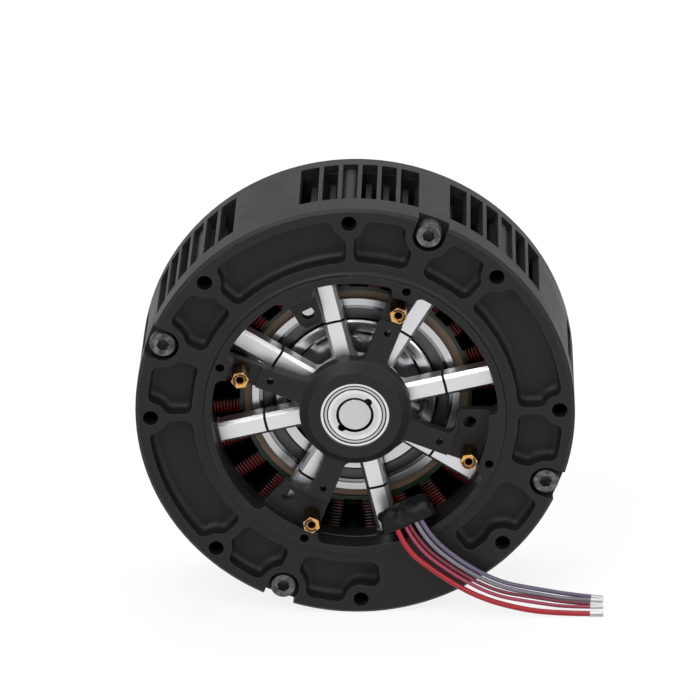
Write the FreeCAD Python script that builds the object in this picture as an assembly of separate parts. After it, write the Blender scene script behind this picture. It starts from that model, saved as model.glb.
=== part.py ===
import FreeCAD, Part
import math
import os

# Robot joint actuator: an external-rotor motor around a planetary gear stage, in a drum
# housing. The driver board and its cover are off, so the rear side is open.
#
# Everything is first built along local Z. The rear face of the drum is at z = 0, +Z points
# out of the open side, and a "depth" is a distance behind that face, towards the output.
# finish() turns the local frame into the part's own frame: the output axis is +Y, +Z is up,
# and the origin is the centre of the output face. Sizes are millimetres and degrees.

V = FreeCAD.Vector

# ---- driving dimensions ----------------------------------------------------------------
DRUM_R = 57.5            # outer radius of the housing
DRUM_LENGTH = 37.3       # rear face to the front of the base flange
OUTPUT_RISE = 4.0        # output mounting face in front of the base flange
GEAR_MODULE = 0.6
SUN_TEETH = 15
PLANET_TEETH = 30
RING_TEETH = SUN_TEETH + 2 * PLANET_TEETH
PLANET_COUNT = 3
QUARTERS = 4
FIRST_ARM = 67.5         # angle of the first bearing arm and of the first housing screw
BOLT_COUNT = 8
OUTPUT_DEPTH = DRUM_LENGTH + OUTPUT_RISE

# ---- clearances ------------------------------------------------------------------------
SHAFT_FIT = 0.03         # running clearance on a radius
AIR_GAP = 0.5            # between stator teeth and magnets
SIDE_GAP = 0.3           # between parts that turn past each other
TOOTH_THINNING = 0.07    # taken off each tooth for backlash
OVERCUT = 1.0            # how far a cutter runs past the face it opens

# ---- bearings: two shielded ball bearings and one of crossed rollers ---------------------
REAR_BEARING_R = 9.0     # 12 x 18 x 4
REAR_BEARING_BORE_R = 6.0
REAR_BEARING_WIDTH = 4.0
REAR_OUTER_RACE = 0.7
REAR_INNER_RACE = 1.05
REAR_BEARING_NEAR = -0.5
FRONT_BEARING_R = 6.0    # 6 x 12 x 3
FRONT_BEARING_BORE_R = 3.0
FRONT_BEARING_WIDTH = 3.0
FRONT_RACE = 0.8
SHIELD = 0.3
SHIELD_SINK = 0.15
SHIELD_GAP = 0.08
OUT_BEARING_R = 32.5     # 50 x 65 x 5
OUT_BEARING_BORE_R = 25.0
OUT_BEARING_WIDTH = 5.0
OUT_RACE = 2.6
ROLLERS = 20
ROLLER_R = 1.3
ROLLER_PLAY = 0.05

# ---- rear housing ----------------------------------------------------------------------
WALL = 2.2
RIM_CHAMFER = 0.8
FLANGE_THICKNESS = 2.8
SPIGOT = 2.0             # base plate inside the drum's end
DRUM_END = DRUM_LENGTH - FLANGE_THICKNESS
BASE_INNER = DRUM_END - SPIGOT
END_WALL_WIDTH = 20.0
APERTURE_R = DRUM_R - END_WALL_WIDTH
LAND_HEIGHT = 1.5        # raised ring around the opening
LAND_WIDTH = 1.8
LAND_STEP = 2.4
LAND_FOOT = 0.3
LAND_FILLET = 1.2
LAND_R = APERTURE_R + LAND_WIDTH
LAND_INNER_R = APERTURE_R - LAND_STEP
SEAT_DEPTH = 2.4         # recess in which the standoffs and lugs sit
SEAT_WIDTH = 10.5
SEAT_INNER_R = APERTURE_R - SEAT_WIDTH
ARM_DEPTH = 1.6          # top of the arms between hub and recess
ARM_WIDTH = 5.8
SPIDER_BACK = 5.0        # underside of hub, arms and land
WALL_BACK = 7.4          # underside of the end wall outside the opening
HUB_FACE = -0.9
HUB_WALL = 3.1
HUB_FOOT = 2.5
HUB_FOOT_FILLET = 1.5
HUB_SHOULDER = 1.4       # step that the rear bearing lies against
HUB_R = REAR_BEARING_R + HUB_WALL
HUB_FOOT_R = HUB_R + HUB_FOOT
HUB_BORE_R = REAR_BEARING_R - HUB_SHOULDER
POCKET_DEPTH = 4.8
POCKET_LAND = 3.3        # end wall between the raised ring and the pockets
POCKET_WALL = 3.2
POCKET_CORNER = 2.2
POCKET_INNER_R = LAND_R + POCKET_LAND
POCKET_OUTER_R = DRUM_R - POCKET_WALL
WALL_STEP = 1.6          # slope from the end wall's underside to the spider's
WINDOW_CORNER = 2.0
BOLT_INSET = 4.0
BOLT_R = DRUM_R - BOLT_INSET
BOLT_BOSS_R = 4.2        # wall left around a bolt hole inside the pockets
SCREW_BOSS_R = 6.0
COLUMN_R = 4.0           # full-length column behind each housing screw
BOSS_R = 2.9             # boss behind each bolt hole
BOSS_GAP = 0.7
BOLT_HOLE_R = 2.05
BOLT_HOLE_DEPTH = 12.0
LUG_HOLE_R = 1.75
LUG_INSET = 7.3
LUG_NOSE = 3.6
LUG_R = APERTURE_R - LUG_INSET
LUG_INNER_R = LUG_R - LUG_NOSE
LUG_ANGLES = (112.5, 232.5, 352.5)
LUG_SPANS = ((106.0, 119.0), (225.8, 247.5), (337.5, 359.2))
SMALL_HOLE_R = 1.0
SMALL_HOLE_INSET = 3.3
RING_HOLE_R = 1.2
RING_HOLE_OUTSET = 0.1
RING_HOLE_DEPTH = 3.5

# ---- side vents ------------------------------------------------------------------------
VENT_START = 7.8
SLOT_WIDTH = 4.0
RIB_WIDTH = 1.1
END_SLOT_WIDTH = 5.0
FIN_WIDTH = 1.5
FIN_STANDOFF = 2.9       # between the drum's wall and the fins behind the slots
FIN_HEIGHT = 2.1
FIN_ROOT = 0.5
FIN_GAP = 1.1
FIN_OUTER_R = DRUM_R - WALL - FIN_STANDOFF
FIN_INNER_R = FIN_OUTER_R - FIN_HEIGHT
FIN_END = BASE_INNER - FIN_GAP
LOBE_WALL = 0.4
POCKET_LOBE_R = FIN_INNER_R - LOBE_WALL

# ---- fasteners -------------------------------------------------------------------------
M4_HEAD_R = 3.5
M4_HEAD = 4.0
M4_SHANK_R = 2.0
M4_THREAD_R = 1.65       # tapping size of the four holes in the base
M4_CLEARANCE_R = 2.25
M4_KEY = 3.0
M4_KEY_DEPTH = 2.2
M4_TIP_GAP = 0.6
COUNTERBORE_R = 4.2
HEAD_SINK = 0.5
COUNTERBORE_DEPTH = HEAD_SINK + M4_HEAD
STANDOFF_INSET = 5.6
STANDOFF_R = APERTURE_R - STANDOFF_INSET
STANDOFF_TOP = -4.8
STANDOFF_AF = 4.0
STANDOFF_STUD_R = 1.2
STANDOFF_BORE_R = 0.9
STANDOFF_FLOOR = 1.5

# ---- output side -----------------------------------------------------------------------
COVER_THICKNESS = 1.0
COVER_RIM = 6.0
COVER_FIT = 0.2
COVER_SCREW_OUTSET = 2.8
COVER_SCREW_R = 1.25
COVER_SCREW_PLAY = 0.1
COVER_SCREW_HEAD_R = 2.3
COVER_SCREW_HEAD = 1.3
COVER_SCREW_LENGTH = 3.5
COVER_SCREW_KEY = 1.5
COVER_SCREW_KEY_DEPTH = 0.8
COVER_SCREWS = 6
COVER_R = OUT_BEARING_R + COVER_RIM
COVER_SCREW_PITCH_R = OUT_BEARING_R + COVER_SCREW_OUTSET
OUT_BEARING_FAR = DRUM_LENGTH - COVER_THICKNESS
OUT_BEARING_NEAR = OUT_BEARING_FAR - OUT_BEARING_WIDTH
FLANGE_SHOULDER = 0.1
OUTPUT_R = OUT_BEARING_BORE_R + OUT_RACE - FLANGE_SHOULDER
OUTPUT_EDGE = 0.6
OUTPUT_BOLT_R = 20.0
OUTPUT_BOLTS = 6
OUTPUT_BOLT_DEPTH = 7.8
OUTPUT_PILOT_R = 8.0
OUTPUT_PILOT_DEPTH = 3.0
M3_R = 1.5
M3_CLEARANCE_R = 1.6
M3_HEAD_R = 2.75
M3_HEAD = 3.0
M3_SINK = 0.4
M3_RECESS_R = 2.9
M3_KEY = 2.5
M3_KEY_DEPTH = 1.6
FLANGE_SCREW_WALL = 2.0  # carrier plate left under the ends of the flange screws

# ---- gear stage ------------------------------------------------------------------------
PRESSURE_ANGLE = 20.0
ROOT_FACTOR = 1.25       # depth of a tooth's root in modules
PLANET_START = 90.0
GEAR_WIDTH = 10.0
CARRIER_PLATE = 3.7
CARRIER_BORE_R = 5.4
CARRIER_GAP = 1.2        # carrier plate to the planets
RING_GEAR_GAP = 0.4
REAR_PLATE_GAP = 0.4
REAR_PLATE = 1.2
REAR_PLATE_BORE_R = 8.5
REAR_PLATE_RIM = 3.0
REAR_PLATE_DISH = 1.0
REAR_PLATE_RISE = 1.8
RIM_CROWN = 0.4
RIM_EDGE = 0.5
RIM_EDGE_DROP = 0.1
RING_GAP = 0.5
PIN_R = 2.5
PIN_PROUD = 0.4
BUSH_R = 3.6
SUN_RUNOUT = 0.6
CENTRE_DISTANCE = GEAR_MODULE * (SUN_TEETH + PLANET_TEETH) / 2
RING_R = GEAR_MODULE * RING_TEETH / 2
SUN_ROOT_R = GEAR_MODULE * (SUN_TEETH / 2 - ROOT_FACTOR)
RIM_R = RING_R - GEAR_MODULE - RING_GAP
CARRIER_NEAR = OUT_BEARING_NEAR - CARRIER_PLATE
RING_GEAR_FAR = CARRIER_NEAR - RING_GEAR_GAP
PLANET_FAR = CARRIER_NEAR - CARRIER_GAP
PLANET_NEAR = PLANET_FAR - GEAR_WIDTH
REAR_PLATE_FAR = PLANET_NEAR - REAR_PLATE_GAP
REAR_PLATE_NEAR = REAR_PLATE_FAR - REAR_PLATE
FRONT_BEARING_INSET = 3.5
FRONT_BEARING_NEAR = OUT_BEARING_NEAR - FRONT_BEARING_INSET

# ---- rotor -----------------------------------------------------------------------------
SPOKES = 8
FIRST_SPOKE = 11.8
SPOKE_WIDTH = 5.6
SPOKE_NEAR = 6.0
SPOKE_FAR = 10.5
SPOKE_EDGE = 0.9
SPOKE_CORNER = 1.8
ROTOR_CLEARANCE = 2.8
BACK_IRON = 2.9
MAGNET_THICKNESS = 2.7
MAGNETS = 28
MAGNET_GAP_ANGLE = 1.2
MAGNET_INSET = 1.0
ROTOR_END_GAP = 2.5
ROTOR_R = FIN_INNER_R - ROTOR_CLEARANCE
BACK_IRON_INNER_R = ROTOR_R - BACK_IRON
ROTOR_FAR = BASE_INNER - ROTOR_END_GAP
BELL_RIM_NEAR = 8.6
BELL_RIM_FAR = 12.0
BELL_RIM_OUTSET = 0.7
BELL_RIM_SLOPE = 2.8
BELL_RIM_STEP = 2.0
BELL_EDGE = 1.0
BELL_FILLET = 1.5
BELL_RIM_INNER_R = APERTURE_R + BELL_RIM_OUTSET
BELL_HUB_WALL = 6.1
BELL_GROOVE_INSET = 14.0
BELL_GROOVE_WIDTH = 0.5
SHAFT_SHOULDER = 1.1
SHAFT_NECK_R = 5.0
SHAFT_SEAT_RUN = 1.5     # hub seat past the spokes
SHAFT_END_GAP = 0.3
SHAFT_R = REAR_BEARING_BORE_R
SHAFT_SEAT_R = SHAFT_R + SHAFT_SHOULDER
BELL_HUB_R = SHAFT_SEAT_R + BELL_HUB_WALL
BELL_GROOVE_R = BELL_RIM_INNER_R - BELL_GROOVE_INSET
MAGNET_CUP_R = 4.9
MAGNET_CUP_DEPTH = 2.6
MAGNET_CUP_GAP = 0.7
ENCODER_SINK = 0.2
RELIEF_R = 1.1

# ---- stator ----------------------------------------------------------------------------
STATOR_TEETH = 24
STATOR_FIRST_TOOTH = 4.3
STATOR_LENGTH = 14.0
STATOR_END_GAP = 1.8
SLEEVE_WALL = 3.0        # ring gear between its pitch circle and the sleeve
STATOR_SLEEVE = 1.9
YOKE = 3.2
TOOTH_WIDTH = 3.2
TIP_THICKNESS = 1.2
SLOT_OPENING = 2.0
END_CAP = 0.7
END_CAP_LIP = 1.0
TOOTH_ROOT = 1.0         # how far a tooth runs into the yoke
TOOTH_END = 0.5          # how far short of the tip's face it stops
WIRE = 0.87
WIRE_BEND = 0.9
COIL_CLEARANCE = 0.1
COIL_YOKE_GAP = 0.4
SLEEVE_PROUD = 1.2
SLEEVE_RELIEF = 0.3
RING_LIP = 0.9
RING_LIP_PROUD = 0.8
FLOOR_STEP = 2.2         # how far the base stands up inside the rotor
FLOOR_EDGE = 0.9
STATOR_R = BACK_IRON_INNER_R - MAGNET_THICKNESS - AIR_GAP
STATOR_FAR = ROTOR_FAR - STATOR_END_GAP
STATOR_NEAR = STATOR_FAR - STATOR_LENGTH
SLEEVE_R = RING_R + SLEEVE_WALL
STATOR_BORE_R = SLEEVE_R + STATOR_SLEEVE
YOKE_R = STATOR_BORE_R + YOKE
COIL_INNER_R = YOKE_R + COIL_YOKE_GAP
COIL_TURNS = int((STATOR_R - TIP_THICKNESS - COIL_INNER_R) / WIRE)
FLOOR_R = STATOR_R - FLOOR_EDGE

# ---- leads -----------------------------------------------------------------------------
CHANNEL_ANGLE = 293.5    # where the leads come out, under the end wall
CHANNEL_WIDTH = 11.0
CHANNEL_CEILING = 2.0
CHANNEL_REACH = 3.0
CHANNEL_FIT = 0.2
HARNESS_WIDTH = 10.0
HARNESS_THICKNESS = 2.0
HARNESS_FOOT = 1.6
HARNESS_FOOT_REACH = 5.8
BOOT_WIDTH = 14.0
BOOT_THICKNESS = 2.6
BOOT_BEND_R = 3.0        # centre line of the boot's turn
BOOT_BEND_INSET = 4.7
BOOT_MOUTH_INSET = 4.0
BOOT_REAR_INSET = 1.1
BOOT_EDGE = 1.0
BOOT_BEND_AT = APERTURE_R - BOOT_BEND_INSET
BOOT_MOUTH_R = APERTURE_R - BOOT_MOUTH_INSET
BOOT_REAR_R = APERTURE_R - BOOT_REAR_INSET

# Lead diameters and routes: across the drum, depth, and height over the table. Every run is
# bent to the next by a tangent arc. They start in the boot's mouth and end on the table.
LEADS = {
    "lead_red": (1.5, [
        (9.90, -2.7, 26.7), (11.9, -4.0, 20.6), (19.6, -4.7, 14.0), (30.6, -4.6, 6.3),
        (43.0, -4.1, 2.0), (54.0, -4.2, 0.75), (64.0, -4.7, 0.75)]),
    "lead_pink": (1.0, [
        (11.90, -2.7, 27.5), (15.0, -4.1, 20.9), (24.2, -4.9, 13.4), (34.9, -4.2, 6.4),
        (45.6, -2.9, 3.6), (55.2, -1.4, 1.2), (64.0, 0.0, 0.5)]),
    "lead_crimson": (1.0, [
        (12.90, -2.7, 27.95), (16.0, -4.0, 21.8), (24.8, -4.8, 14.5), (35.5, -3.9, 7.5),
        (46.0, -2.2, 4.7), (55.5, -0.2, 1.9), (64.0, 1.3, 0.5)]),
    "lead_grey": (1.2, [
        (14.70, -2.7, 28.8), (17.2, -3.9, 23.2), (25.6, -4.0, 15.3), (35.9, -3.2, 8.6),
        (46.4, -1.2, 5.2), (55.6, 1.6, 2.0), (64.0, 3.9, 0.6)]),
    "lead_violet": (1.2, [
        (15.96, -2.7, 29.4), (18.4, -3.8, 24.2), (26.5, -3.8, 16.4), (36.6, -2.9, 9.7),
        (46.8, -0.5, 6.3), (55.9, 2.8, 2.9), (64.0, 5.4, 0.6)]),
}


# ---- small helpers ---------------------------------------------------------------------
def polar(radius, angle, depth=0.0):
    turn = math.radians(angle)
    return V(radius * math.cos(turn), radius * math.sin(turn), -depth)


def rod(radius, near, far, centre_r=0.0, angle=0.0):
    """Cylinder along the axis between two depths."""
    return Part.makeCylinder(radius, far - near, polar(centre_r, angle, far))


def ring(outer, inner, near, far):
    return rod(outer, near, far).cut(rod(inner, near, far))


def turned(outline):
    """Solid of revolution. Corners are (radius, depth); a third value rounds the corner."""
    corners = [V(corner[0], 0, -corner[1]) for corner in outline]
    radii = [corner[2] if len(corner) > 2 else 0.0 for corner in outline]
    edges = []
    count = len(corners)
    cuts = []
    for i, corner in enumerate(corners):
        before = (corners[i - 1] - corner).normalize()
        after = (corners[(i + 1) % count] - corner).normalize()
        half = before.getAngle(after) / 2
        reach = radii[i] / math.tan(half) if radii[i] else 0.0
        if radii[i]:
            middle = (before + after).normalize() * (radii[i] / math.sin(half) - radii[i])
        else:
            middle = V(0, 0, 0)
        cuts.append((corner + before * reach, corner + middle, corner + after * reach))
    for i in range(count):
        if radii[i]:
            edges.append(Part.Arc(*cuts[i]).toShape())
        start = cuts[i][2]
        end = cuts[(i + 1) % count][0]
        if start.distanceToPoint(end) > 1e-6:
            edges.append(Part.makeLine(start, end))
    face = Part.Face(Part.Wire(edges))
    return face.revolve(V(0, 0, 0), V(0, 0, 1), 360)


def copies(shape, count, first=0.0):
    """Equal copies around the axis; the given shape lies at angle 0."""
    made = []
    for i in range(count):
        turned_copy = shape.copy()
        turned_copy.rotate(V(0, 0, 0), V(0, 0, 1), first + 360.0 * i / count)
        made.append(turned_copy)
    return made


def block(r_in, r_out, width, near, far, angle=0.0):
    """Parallel-sided block pointing away from the axis."""
    made = Part.makeBox(r_out - r_in, width, far - near, V(r_in, -width / 2, -far))
    made.rotate(V(0, 0, 0), V(0, 0, 1), angle)
    return made


def flat_sector(r_in, r_out, start, end):
    middle = (start + end) / 2
    outer = Part.Arc(polar(r_out, start), polar(r_out, middle), polar(r_out, end))
    inner = Part.Arc(polar(r_in, end), polar(r_in, middle), polar(r_in, start))
    sides = [
        Part.makeLine(polar(r_out, end), polar(r_in, end)),
        Part.makeLine(polar(r_in, start), polar(r_out, start)),
    ]
    return Part.Face(Part.Wire([outer.toShape(), sides[0], inner.toShape(), sides[1]]))


def flat_disc(radius, centre):
    return Part.Face(Part.Wire([Part.makeCircle(radius, centre)]))


def sector(r_in, r_out, start, end, near, far):
    made = flat_sector(r_in, r_out, start, end).extrude(V(0, 0, near - far))
    made.translate(V(0, 0, -near))
    return made


def largest(shape):
    return max(shape.Faces, key=lambda face: face.Area)


def upright_edges(solid):
    return [e for e in solid.Edges if e.BoundBox.XLength < 1e-4 and e.BoundBox.YLength < 1e-4]


def rounded_prism(face, near, far, corner):
    """Prism along the axis with all its upright edges rounded."""
    prism = sunk(face, near, far)
    return prism.makeFillet(corner, upright_edges(prism))


def sunk(face, near, far):
    made = face.extrude(V(0, 0, near - far))
    made.translate(V(0, 0, -near))
    return made


def hexagon(across_flats, near, far, centre_r=0.0, angle=0.0):
    corner_r = across_flats / math.sqrt(3)
    centre = polar(centre_r, angle, near)
    corners = [centre + polar(corner_r, 30 + 60 * i) for i in range(6)]
    return Part.Face(Part.makePolygon(corners + corners[:1])).extrude(V(0, 0, near - far))


def merged(first, others):
    return first.multiFuse(others).removeSplitter()


def group(solids):
    return Part.makeCompound(solids)


def finish(shape):
    """From the local frame to the part's own frame."""
    placed = shape.copy()
    placed.rotate(V(0, 0, 0), V(1, 0, 0), 90)
    placed.translate(V(0, -OUTPUT_DEPTH, 0))
    return placed


# ---- rear housing ----------------------------------------------------------------------
def arm_angles():
    return [FIRST_ARM + 90 * i for i in range(QUARTERS)]


def bolt_angles():
    return [360 * i / BOLT_COUNT for i in range(BOLT_COUNT)]


def housing_blank():
    """Turned drum with its end wall, raised land, recessed seat and bearing hub."""
    return turned([
        (HUB_BORE_R, HUB_FACE),
        (HUB_R, HUB_FACE),
        (HUB_FOOT_R, ARM_DEPTH, HUB_FOOT_FILLET),
        (SEAT_INNER_R, ARM_DEPTH),
        (SEAT_INNER_R, SEAT_DEPTH),
        (LAND_INNER_R, SEAT_DEPTH),
        (LAND_INNER_R, -LAND_HEIGHT),
        (LAND_R, -LAND_HEIGHT),
        (LAND_R + LAND_FOOT, 0, LAND_FILLET),
        (DRUM_R - RIM_CHAMFER, 0),
        (DRUM_R, RIM_CHAMFER),
        (DRUM_R, DRUM_END),
        (DRUM_R - WALL, DRUM_END),
        (DRUM_R - WALL, WALL_BACK),
        (POCKET_INNER_R, WALL_BACK),
        (POCKET_INNER_R - WALL_STEP, SPIDER_BACK),
        (HUB_BORE_R, SPIDER_BACK),
    ])


def windows():
    """The four openings between the bearing arms, with the lugs left standing in them."""
    solid_parts = []
    for angle in arm_angles():
        arm = Part.makePlane(DRUM_R, ARM_WIDTH, V(0, -ARM_WIDTH / 2, 0))
        arm.rotate(V(0, 0, 0), V(0, 0, 1), angle)
        solid_parts.append(arm)
    for start, end in LUG_SPANS:
        solid_parts.append(flat_sector(LUG_INNER_R, DRUM_R, start, end))
    opening = flat_disc(APERTURE_R, V(0, 0, 0)).cut(flat_disc(HUB_FOOT_R, V(0, 0, 0)))
    opening = opening.cut(Part.makeCompound(solid_parts))
    return [rounded_prism(face, -LAND_HEIGHT - OVERCUT, WALL_BACK + OVERCUT, WINDOW_CORNER)
            for face in opening.Faces]


def pocket_spans():
    """Start, end and outer radius of each pocket; a lobed one has two pieces."""
    spans = []
    for quarter in range(QUARTERS):
        turn = 90 * quarter
        if quarter != 3:
            spans.append([(turn + 1.2, turn + 43.8, POCKET_OUTER_R)])
            spans.append([(turn + 46.6, turn + 64.7, POCKET_OUTER_R)])
        else:
            spans.append([(305.4, 316.0, POCKET_LOBE_R), (315.0, 333.0, POCKET_OUTER_R)])
        if quarter != 2:
            spans.append([(turn + 70.3, turn + 88.8, POCKET_OUTER_R)])
        else:
            spans.append([(250.3, 270.0, POCKET_OUTER_R), (269.0, 276.3, POCKET_LOBE_R)])
    return spans


def pockets():
    walls = [flat_disc(BOLT_BOSS_R, polar(BOLT_R, angle)) for angle in bolt_angles()]
    walls += [flat_disc(SCREW_BOSS_R, polar(BOLT_R, angle)) for angle in arm_angles()]
    kept = Part.makeCompound(walls)
    made = []
    for pieces in pocket_spans():
        face = flat_sector(POCKET_INNER_R, pieces[0][2], pieces[0][0], pieces[0][1])
        for start, end, outer in pieces[1:]:
            face = face.fuse(flat_sector(POCKET_INNER_R, outer, start, end)).removeSplitter()
        cutter = rounded_prism(largest(face.cut(kept)), -OVERCUT, POCKET_DEPTH, POCKET_CORNER)
        floor = [e for e in cutter.Edges if abs(e.BoundBox.ZMax + POCKET_DEPTH) < 1e-4
                 and e.BoundBox.ZLength < 1e-4]
        made.append(cutter.makeFillet(0.8 * POCKET_CORNER, floor))
    return made


def vent_centres():
    """Angle from a screw column and width of each slot of one vent group."""
    pitch = math.degrees((SLOT_WIDTH + RIB_WIDTH) / DRUM_R)
    end_shift = math.degrees((END_SLOT_WIDTH - SLOT_WIDTH) / 2 / DRUM_R)
    middle = 22.5
    slots = [(middle + step * pitch, SLOT_WIDTH) for step in (-2, -1, 0, 1)]
    slots.append((middle - 3 * pitch - end_shift, END_SLOT_WIDTH))
    slots.append((middle + 2 * pitch + end_shift, END_SLOT_WIDTH))
    return slots


def vents_and_fins():
    slots = []
    fins = []
    for arm in arm_angles():
        for side in (-1, 1):
            for offset, width in vent_centres():
                angle = arm + side * offset
                slots.append(block(DRUM_R - WALL - OVERCUT, DRUM_R + OVERCUT, width,
                                   VENT_START, BASE_INNER, angle))
                if abs(offset - 22.5) > 1:
                    fins.append(block(FIN_INNER_R, FIN_OUTER_R, FIN_WIDTH,
                                      WALL_BACK - FIN_ROOT, FIN_END, angle))
    return slots, fins


def lead_channel():
    """Way for the leads under the end wall, from the rotor's outside to the opening."""
    return block(APERTURE_R - CHANNEL_REACH, FIN_INNER_R + CHANNEL_FIT, CHANNEL_WIDTH,
                 CHANNEL_CEILING, WALL_BACK + OVERCUT, CHANNEL_ANGLE)


def rear_housing():
    blank = housing_blank()
    slots, fins = vents_and_fins()
    columns = [rod(COLUMN_R, SPIDER_BACK, BASE_INNER, BOLT_R, a) for a in arm_angles()]
    bosses = [rod(BOSS_R, SPIDER_BACK, BASE_INNER - BOSS_GAP, BOLT_R, a)
              for a in bolt_angles()]
    envelope = rod(DRUM_R, 0, DRUM_END)
    added = [solid.common(envelope) for solid in columns + bosses]
    body = blank.cut(Part.makeCompound(slots))
    body = body.multiFuse(added + fins)
    through = SPIDER_BACK + OVERCUT
    holes = [rod(BOLT_HOLE_R, -OVERCUT, BOLT_HOLE_DEPTH, BOLT_R, a) for a in bolt_angles()]
    for angle in arm_angles():
        holes.append(rod(M4_CLEARANCE_R, 0, DRUM_END + OVERCUT, BOLT_R, angle))
        holes.append(rod(COUNTERBORE_R, -OVERCUT, COUNTERBORE_DEPTH, BOLT_R, angle))
        holes.append(block(BOLT_R, DRUM_R + OVERCUT, 2 * COUNTERBORE_R,
                           -OVERCUT, COUNTERBORE_DEPTH, angle))
        holes.append(rod(SMALL_HOLE_R, 0, through, SEAT_INNER_R - SMALL_HOLE_INSET, angle))
        holes.append(rod(RING_HOLE_R, -LAND_HEIGHT - OVERCUT, RING_HOLE_DEPTH,
                         APERTURE_R + RING_HOLE_OUTSET, angle))
        holes.append(rod(STANDOFF_STUD_R, 0, through, STANDOFF_R, angle))
    holes += [rod(LUG_HOLE_R, 0, through, LUG_R, angle) for angle in LUG_ANGLES]
    seat_far = REAR_BEARING_NEAR + REAR_BEARING_WIDTH
    holes.append(rod(REAR_BEARING_R, HUB_FACE - OVERCUT, seat_far))
    body = body.cut(Part.makeCompound(holes + [lead_channel()]))
    body = body.cut(Part.makeCompound(pockets()))
    return body.cut(Part.makeCompound(windows())).removeSplitter()


# ---- base and its bearing --------------------------------------------------------------
def base_housing():
    """Base flange with the output bearing's seat and the sleeve that carries the stator."""
    sleeve_near = STATOR_NEAR - SLEEVE_PROUD
    floor = BASE_INNER - FLOOR_STEP
    cover_r = COVER_R + COVER_FIT
    blank = turned([
        (SLEEVE_R, sleeve_near),
        (STATOR_BORE_R, sleeve_near),
        (STATOR_BORE_R, floor),
        (FLOOR_R - SPIGOT, floor),
        (FLOOR_R, BASE_INNER),
        (DRUM_R - WALL, BASE_INNER),
        (DRUM_R - WALL, DRUM_END),
        (DRUM_R, DRUM_END),
        (DRUM_R, DRUM_LENGTH - RIM_CHAMFER),
        (DRUM_R - RIM_CHAMFER, DRUM_LENGTH),
        (cover_r, DRUM_LENGTH),
        (cover_r, OUT_BEARING_FAR),
        (OUT_BEARING_R, OUT_BEARING_FAR),
        (OUT_BEARING_R, OUT_BEARING_NEAR),
        (SLEEVE_R + SLEEVE_RELIEF, OUT_BEARING_NEAR),
        (SLEEVE_R + SLEEVE_RELIEF, RING_GEAR_FAR),
        (SLEEVE_R, RING_GEAR_FAR),
    ])
    near = BASE_INNER - OVERCUT
    far = DRUM_LENGTH + OVERCUT
    holes = [rod(M4_THREAD_R, near, far, BOLT_R, angle) for angle in arm_angles()]
    holes += [rod(BOLT_HOLE_R, near, far, BOLT_R, angle) for angle in bolt_angles()]
    screw_far = OUT_BEARING_FAR - COVER_SCREW_LENGTH
    holes += copies(rod(COVER_SCREW_R, screw_far, far, COVER_SCREW_PITCH_R), COVER_SCREWS)
    return blank.cut(Part.makeCompound(holes))


def output_bearing():
    """Outer ring, inner ring and crossed rollers, with the rollers' V grooves."""
    middle = (OUT_BEARING_NEAR + OUT_BEARING_FAR) / 2
    outer_land = OUT_BEARING_R - OUT_RACE
    inner_land = OUT_BEARING_BORE_R + OUT_RACE
    pitch_r = (outer_land + inner_land) / 2
    reach = math.sqrt(2) * (ROLLER_R + 2 * ROLLER_PLAY)
    groove = turned([
        (pitch_r - reach, middle),
        (pitch_r, middle - reach),
        (pitch_r + reach, middle),
        (pitch_r, middle + reach),
    ])
    outer = ring(OUT_BEARING_R, outer_land, OUT_BEARING_NEAR, OUT_BEARING_FAR).cut(groove)
    inner = ring(inner_land, OUT_BEARING_BORE_R, OUT_BEARING_NEAR, OUT_BEARING_FAR).cut(groove)
    rollers = []
    for i in range(ROLLERS):
        tilt = 45 if i % 2 else -45
        roller = Part.makeCylinder(ROLLER_R, 2 * (ROLLER_R - ROLLER_PLAY),
                                   V(0, 0, ROLLER_PLAY - ROLLER_R))
        roller.rotate(V(0, 0, 0), V(0, 1, 0), tilt)
        roller.translate(V(pitch_r, 0, -middle))
        roller.rotate(V(0, 0, 0), V(0, 0, 1), 360.0 * i / ROLLERS)
        rollers.append(roller)
    return outer, inner, group(rollers)


def bearing_cover():
    """Ring let into the base flange; it holds the outer ring of the output bearing."""
    plate = ring(COVER_R, OUTPUT_R + SIDE_GAP + FLANGE_SHOULDER, OUT_BEARING_FAR, DRUM_LENGTH)
    hole = rod(COVER_SCREW_R + COVER_SCREW_PLAY, OUT_BEARING_FAR - OVERCUT,
               DRUM_LENGTH + OVERCUT, COVER_SCREW_PITCH_R)
    return plate.cut(Part.makeCompound(copies(hole, COVER_SCREWS)))


def cover_screws():
    top = DRUM_LENGTH + COVER_SCREW_HEAD
    screw = rod(COVER_SCREW_R, OUT_BEARING_FAR - COVER_SCREW_LENGTH, DRUM_LENGTH,
                COVER_SCREW_PITCH_R)
    screw = screw.fuse(rod(COVER_SCREW_HEAD_R, DRUM_LENGTH, top, COVER_SCREW_PITCH_R))
    screw = screw.cut(hexagon(COVER_SCREW_KEY, top - COVER_SCREW_KEY_DEPTH, top + OVERCUT,
                              COVER_SCREW_PITCH_R))
    return group(copies(screw.removeSplitter(), COVER_SCREWS))


# ---- fasteners on the rear -------------------------------------------------------------
def housing_screws():
    head_far = HEAD_SINK + M4_HEAD
    screw = rod(M4_HEAD_R, HEAD_SINK, head_far, BOLT_R)
    screw = screw.fuse(rod(M4_SHANK_R, head_far, BASE_INNER - SIDE_GAP, BOLT_R))
    screw = screw.fuse(rod(M4_THREAD_R, head_far, DRUM_LENGTH - M4_TIP_GAP, BOLT_R))
    key_far = HEAD_SINK + M4_KEY_DEPTH
    screw = screw.cut(hexagon(M4_KEY, HEAD_SINK - OVERCUT, key_far, BOLT_R))
    return group(copies(screw.removeSplitter(), QUARTERS, FIRST_ARM))


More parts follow.
